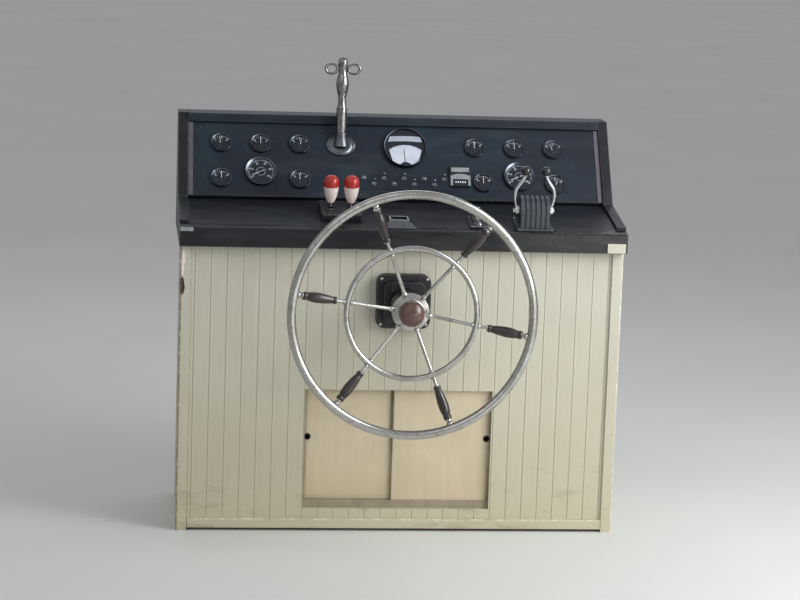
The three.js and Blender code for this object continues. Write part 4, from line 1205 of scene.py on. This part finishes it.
# %% Ash tray
TRAY_TOP = 18
tray = block((-44, -32, 0.3), (44, 32, TRAY_TOP))
for vert in tray.verts:
    if vert.co.z > 10:
        vert.co.x *= 24 / 44
        vert.co.y *= 17 / 32
mouth = max(tray.faces, key=lambda face: face.calc_center_median().z)
bmesh.ops.inset_individual(tray, faces=[mouth], thickness=4, use_even_offset=True)
push_face(tray, mouth, (0, 0, -14))
outward(tray)
print("the tray is closed:", is_closed(tray))
for face in tray.faces:
    face.material_index = 0 if face.calc_center_median().z > TRAY_TOP - 0.1 else 1
round_edges(tray, 1.1, 3)
make_piece("steel_ash_tray", tray, [arm_finish, flange_finish], "desk_tray", on_desk(-15, 14))

# %% [markdown]
# ## The helm unit
#
# Behind the wheel a rounded square of black plastic covers the hole in the beadboard, with a smaller step
# and a nose that the shaft turns in. Rounded squares are blocks whose four long edges get a wide round, and
# the ring of short ribs breaks up the black as the moulded vents do.

# %% Helm unit


def rounded_plate(half, corner, low, high, edge):
    plate = block((-half, -half, low), (half, half, high))
    round_edges(plate, corner, 8, only=lambda e: abs(e.verts[0].co.z - e.verts[1].co.z) > 1)
    return round_edges(plate, edge, 3, 60, only=lambda e: max(v.co.z for v in e.verts) < low + 0.01)


TAPER = curve([(38, -43), (35.6, -55), (31, -66), (26, -77), (23, -80)], 4)
nose = turned([(0, -40), (38, -40), *TAPER, (11, -80), (10.4, -79.4), (10.4, -46), (0, -46)], 64)
body = turned([(0, -2), (41, -2), (41, 12.3), (49, 12.3), (50, 13.3), (50, 108), (48, 110), (0, 110)], 64)
parts = [rounded_plate(68, 22, -28, -0.3, 3.0), rounded_plate(52, 18, -44, -27, 3.0)]
parts += [(nose, Matrix(), 3), body]
for i in range(12):
    parts.append((block((41.5, -3.2, -46.2), (49.5, 3.2, -43.5), 0.8), roll(tau * (i + 0.5) / 12), 2))
for i in range(4):
    parts.append((screw(3.6), roll(tau * i / 4) @ move(57, 57, -28) @ roll(pi, "X"), 1))
make_piece("helm_bezel", parts, [plastic_finish, steel_finish, rubber_finish, bezel_finish],
           "helm_unit", HUB, sharp=32)
print("helm bezel: 136 mm square")

# %% [markdown]
# ## The spoked wheel
#
# A stainless rim of round bar, an inner ring and six dished spokes are welded to a turned hub, and each
# spoke carries a turned mahogany grip between the rings. Rings are one circle spun round, and every spoke
# is made once, upright, and turned into its place. Small weld collars sit wherever two bars meet.

# %% Wheel
RIM, RING = 294, 159.5
ROOT = 20  # radius at which the spokes leave the axis
ROOT_DEPTH, RIM_DEPTH = -177, -235
TILT = atan2(ROOT_DEPTH - RIM_DEPTH, RIM - ROOT)
ring_depth = ROOT_DEPTH + (RIM_DEPTH - ROOT_DEPTH) / (RIM - ROOT) * (RING - ROOT)
along_spoke = lambda radius: (radius - ROOT) / cos(TILT)


def on_spoke(i, radius=ROOT):
    """The place on spoke i at a radius, with up along the spoke."""
    turned_to = roll(pi / 2 - radians(50.5 + 60 * i), "Y")
    return turned_to @ move(0, ROOT_DEPTH, ROOT) @ roll(TILT, "X") @ move(z=along_spoke(radius))


def weld(radius, swell, length):
    """A soft ring of weld metal round a bar."""
    near, low = swell * 0.92, length * 0.45
    half = [(swell, 0), (near, low), (radius, length), (0, length)]
    return turned([*[(r, -z) for r, z in half[:0:-1]], *half], 24)


tip = on_spoke(0, RIM).translation
print("a spoke reaches radius", round(tip.xz.length, 1), "at depth", round(tip.y, 1))

WHEEL_HUB = [
    (0, -26), (9.2, -26), (10, -26.8), (10, -146), (24, -146), (25, -147), (25, -167), (30, -169.6),
    (45, -171.6), (46, -172.6), (46, -182), (45, -183.2), (33, -185.6), (31, -187.4), (29.4, -199.4),
    (28.6, -200), (0, -200),
]


def wheel_piece(name, parts, node, sharp):
    make_piece(name, parts, [steel_finish], node, WHEEL, "wheel", sharp)


parts = [(turned(WHEEL_HUB, 72), BACKWARD, 0)]
for i in range(6):
    bar = rod(4.5, 0, along_spoke(RIM - 11) - 0.4, 24)
    parts += [(bar, on_spoke(i), 0), (weld(4.5, 7.2, 6), on_spoke(i, 47), 0)]
    bolt = turned([(0, -1), (4.6, -1), (4.6, 2.2), (4.0, 2.8), (0, 2.8)], 6)
    parts.append((bolt, roll(tau * (i + 0.5) / 6, "Y") @ move(0, -183.4, 38.5) @ FORWARD, 0))
wheel_piece("spokes_and_hub", parts, "wheel_spider", 40)

parts = [(ring(RIM, 11, 144, 24), BACKWARD @ move(z=RIM_DEPTH), 0)]
parts += [(weld(4.6, 8.6, 5.5), on_spoke(i, RIM - 12.5), 0) for i in range(6)]
wheel_piece("steel_rim", parts, "wheel_rim", 50)

parts = [(ring(RING, 7, 120, 20), BACKWARD @ move(z=ring_depth), 0)]
parts += [(weld(4.7, 6.8, 3.5), on_spoke(i, RING + gap), 0) for i in range(6) for gap in (-8.2, 8.2)]
wheel_piece("steel_inner_ring", parts, "wheel_inner_ring", 50)
print("rim, inner ring, hub and 6 spokes are steel")

# %% Grips and hub cap
GRIP_FROM, GRIP_TO = 188, 272
END = along_spoke(GRIP_TO) - along_spoke(GRIP_FROM)
GRIP = curve([
    (8, 0), (9.4, 2.4), (9.6, 5.4), (8.4, 8.4), (8.7, 11), (10.4, 20), (12.0, 33), (12.9, 46), (12.6, 57),
    (11.2, 67), (9.8, 73), (9.4, 76), (10.6, 79), (10.2, 83), (8.2, END),
], 3)
FERRULE = [(4.8, 0), (7.9, 0), (8.3, 0.5), (8.3, 2.2), (7.9, 2.7), (4.8, 2.7), (4.8, 0)]
CAP = curve([(31, -201), (32, -206), (31.4, -212), (28.6, -218.6), (22, -225), (13, -229.4), (5, -230.9)], 4)
for i in range(6):
    wood = turned([(4.8, 0), *GRIP, (4.8, END), (4.8, 0)], 32)
    ferrules = [(turned(FERRULE, 28), move(z=z), 1) for z in (-2.0, END - 0.6)]
    make_piece(f"turned_grip_{i + 1}", [wood, *ferrules], [grip_finish, steel_finish],
               f"wheel_grip_{i + 1}", WHEEL @ on_spoke(i, GRIP_FROM), "wheel")
cap = turned([(0, -200.3), (30.4, -200.3), *CAP, (0, -231)], 64)
make_piece("mahogany_cap", cap, [cap_finish], "hub_cap", HUB, "wheel", 30)
print("grips: 6 and one cap, all riding on the wheel")

# %% [markdown]
# ## Camera, floor and light
#
# The photograph's own lens stood 6.2 metres away at eye height, looking a little down and past the console.
# The camera stands at the same place with the same roll and is turned the shortest way towards the console,
# so that every line leans as it does in the photograph, and a longer lens fills the frame. The light is a
# plain studio: a very wide soft sky over the left shoulder, a panel at the right where the open doors are,
# a cooler one high at the right as the ceiling, a high one behind for the edges of the chrome, and a low
# one in front that only shows in the lip's gloss.

# %% Camera
stand = Vector((-0.704, -6.183, 1.587))
target = Vector((0.0, -0.02, 0.585))
photo_turn = roll(radians(0.5)) @ roll(radians(90 - 11), "X") @ roll(radians(0.7))
turn = photo_turn.to_quaternion()
ahead = turn @ Vector((0, 0, -1))
lens_data = bpy.data.cameras.new("camera")
lens_data.lens, lens_data.sensor_width = 112, 36
camera = as_object("camera", lens_data)
camera.location, camera.rotation_mode = stand, "QUATERNION"
camera.rotation_quaternion = ahead.rotation_difference(target - stand) @ turn
bpy.context.scene.camera = camera
print("camera is", round((target - stand).length, 2), "m from the console")

# %% Floor
ground = bmesh.new()
bmesh.ops.create_grid(ground, x_segments=8, y_segments=8, size=150)
studio_floor = as_object("studio_floor", as_mesh("studio_floor", ground))
pale = Recipe("pale_floor")
tone = pale.ramp(pale.noise(0.8, 3), (0.3, (214, 214, 212)), (0.7, (220, 220, 218)))
studio_floor.data.materials.append(pale.done(tone, pale.spread(pale.noise(6, 3), 0.3, 0.7, 0.6, 0.75)))
print("the floor is", round(studio_floor.dimensions.x), "m wide")

# %% Light


def add_light(name, data, place, turn):
    lamp = as_object(name, data)
    lamp.location, lamp.rotation_mode, lamp.rotation_quaternion = place, "QUATERNION", turn


def panel_light(name, place, aim, size, power, colour):
    """A soft rectangular light that faces a point."""
    data = bpy.data.lights.new(name, "AREA")
    data.shape, data.size, data.size_y, data.energy, data.color = "RECTANGLE", *size, power, colour
    add_light(name, data, place, (Vector(aim) - Vector(place)).to_track_quat("-Z", "Y"))


def sky_light(name, turn, height, strength, spread_angle):
    """A very wide, soft sun that lights the whole floor alike. Turn 0 comes from the front."""
    data = bpy.data.lights.new(name, "SUN")
    data.energy, data.angle = strength, radians(spread_angle)
    away = Matrix.Rotation(radians(turn), 3, "Z") @ Vector((0, -cos(radians(height)), sin(radians(height))))
    add_light(name, data, away * 8, away.to_track_quat("Z", "Y"))


sky_light("front_sky", -28, 40, 0.3, 50)
panel_light("door_panel_light", (2.3, -1.9, 1.6), (0.3, 0, 0.6), (1.5, 1.7), 61, (1.0, 0.99, 0.97))
panel_light("ceiling_panel", (1.95, -1.0, 2.4), (0.3, 0.15, 0.9), (1.3, 1.4), 26, (0.9, 0.98, 1.0))
panel_light("high_panel", (0.2, 2.6, 3.2), (0, 0.1, 0.9), (3.0, 1.4), 18, (0.92, 0.96, 1.0))
panel_light("low_panel", (1.4, -3.2, 0.35), (0.4, -0.1, 0.75), (1.2, 0.5), 7, (1.0, 1.0, 0.97))
world = bpy.data.worlds.new("studio")
world.use_nodes = True
background = world.node_tree.nodes["Background"]
background.inputs["Color"].default_value = (0.88, 0.9, 0.92, 1)
background.inputs["Strength"].default_value = 0.42
bpy.context.scene.world = world
bpy.context.scene.view_settings.view_transform = "Standard"
print("lights:", 5)

# %% Finish
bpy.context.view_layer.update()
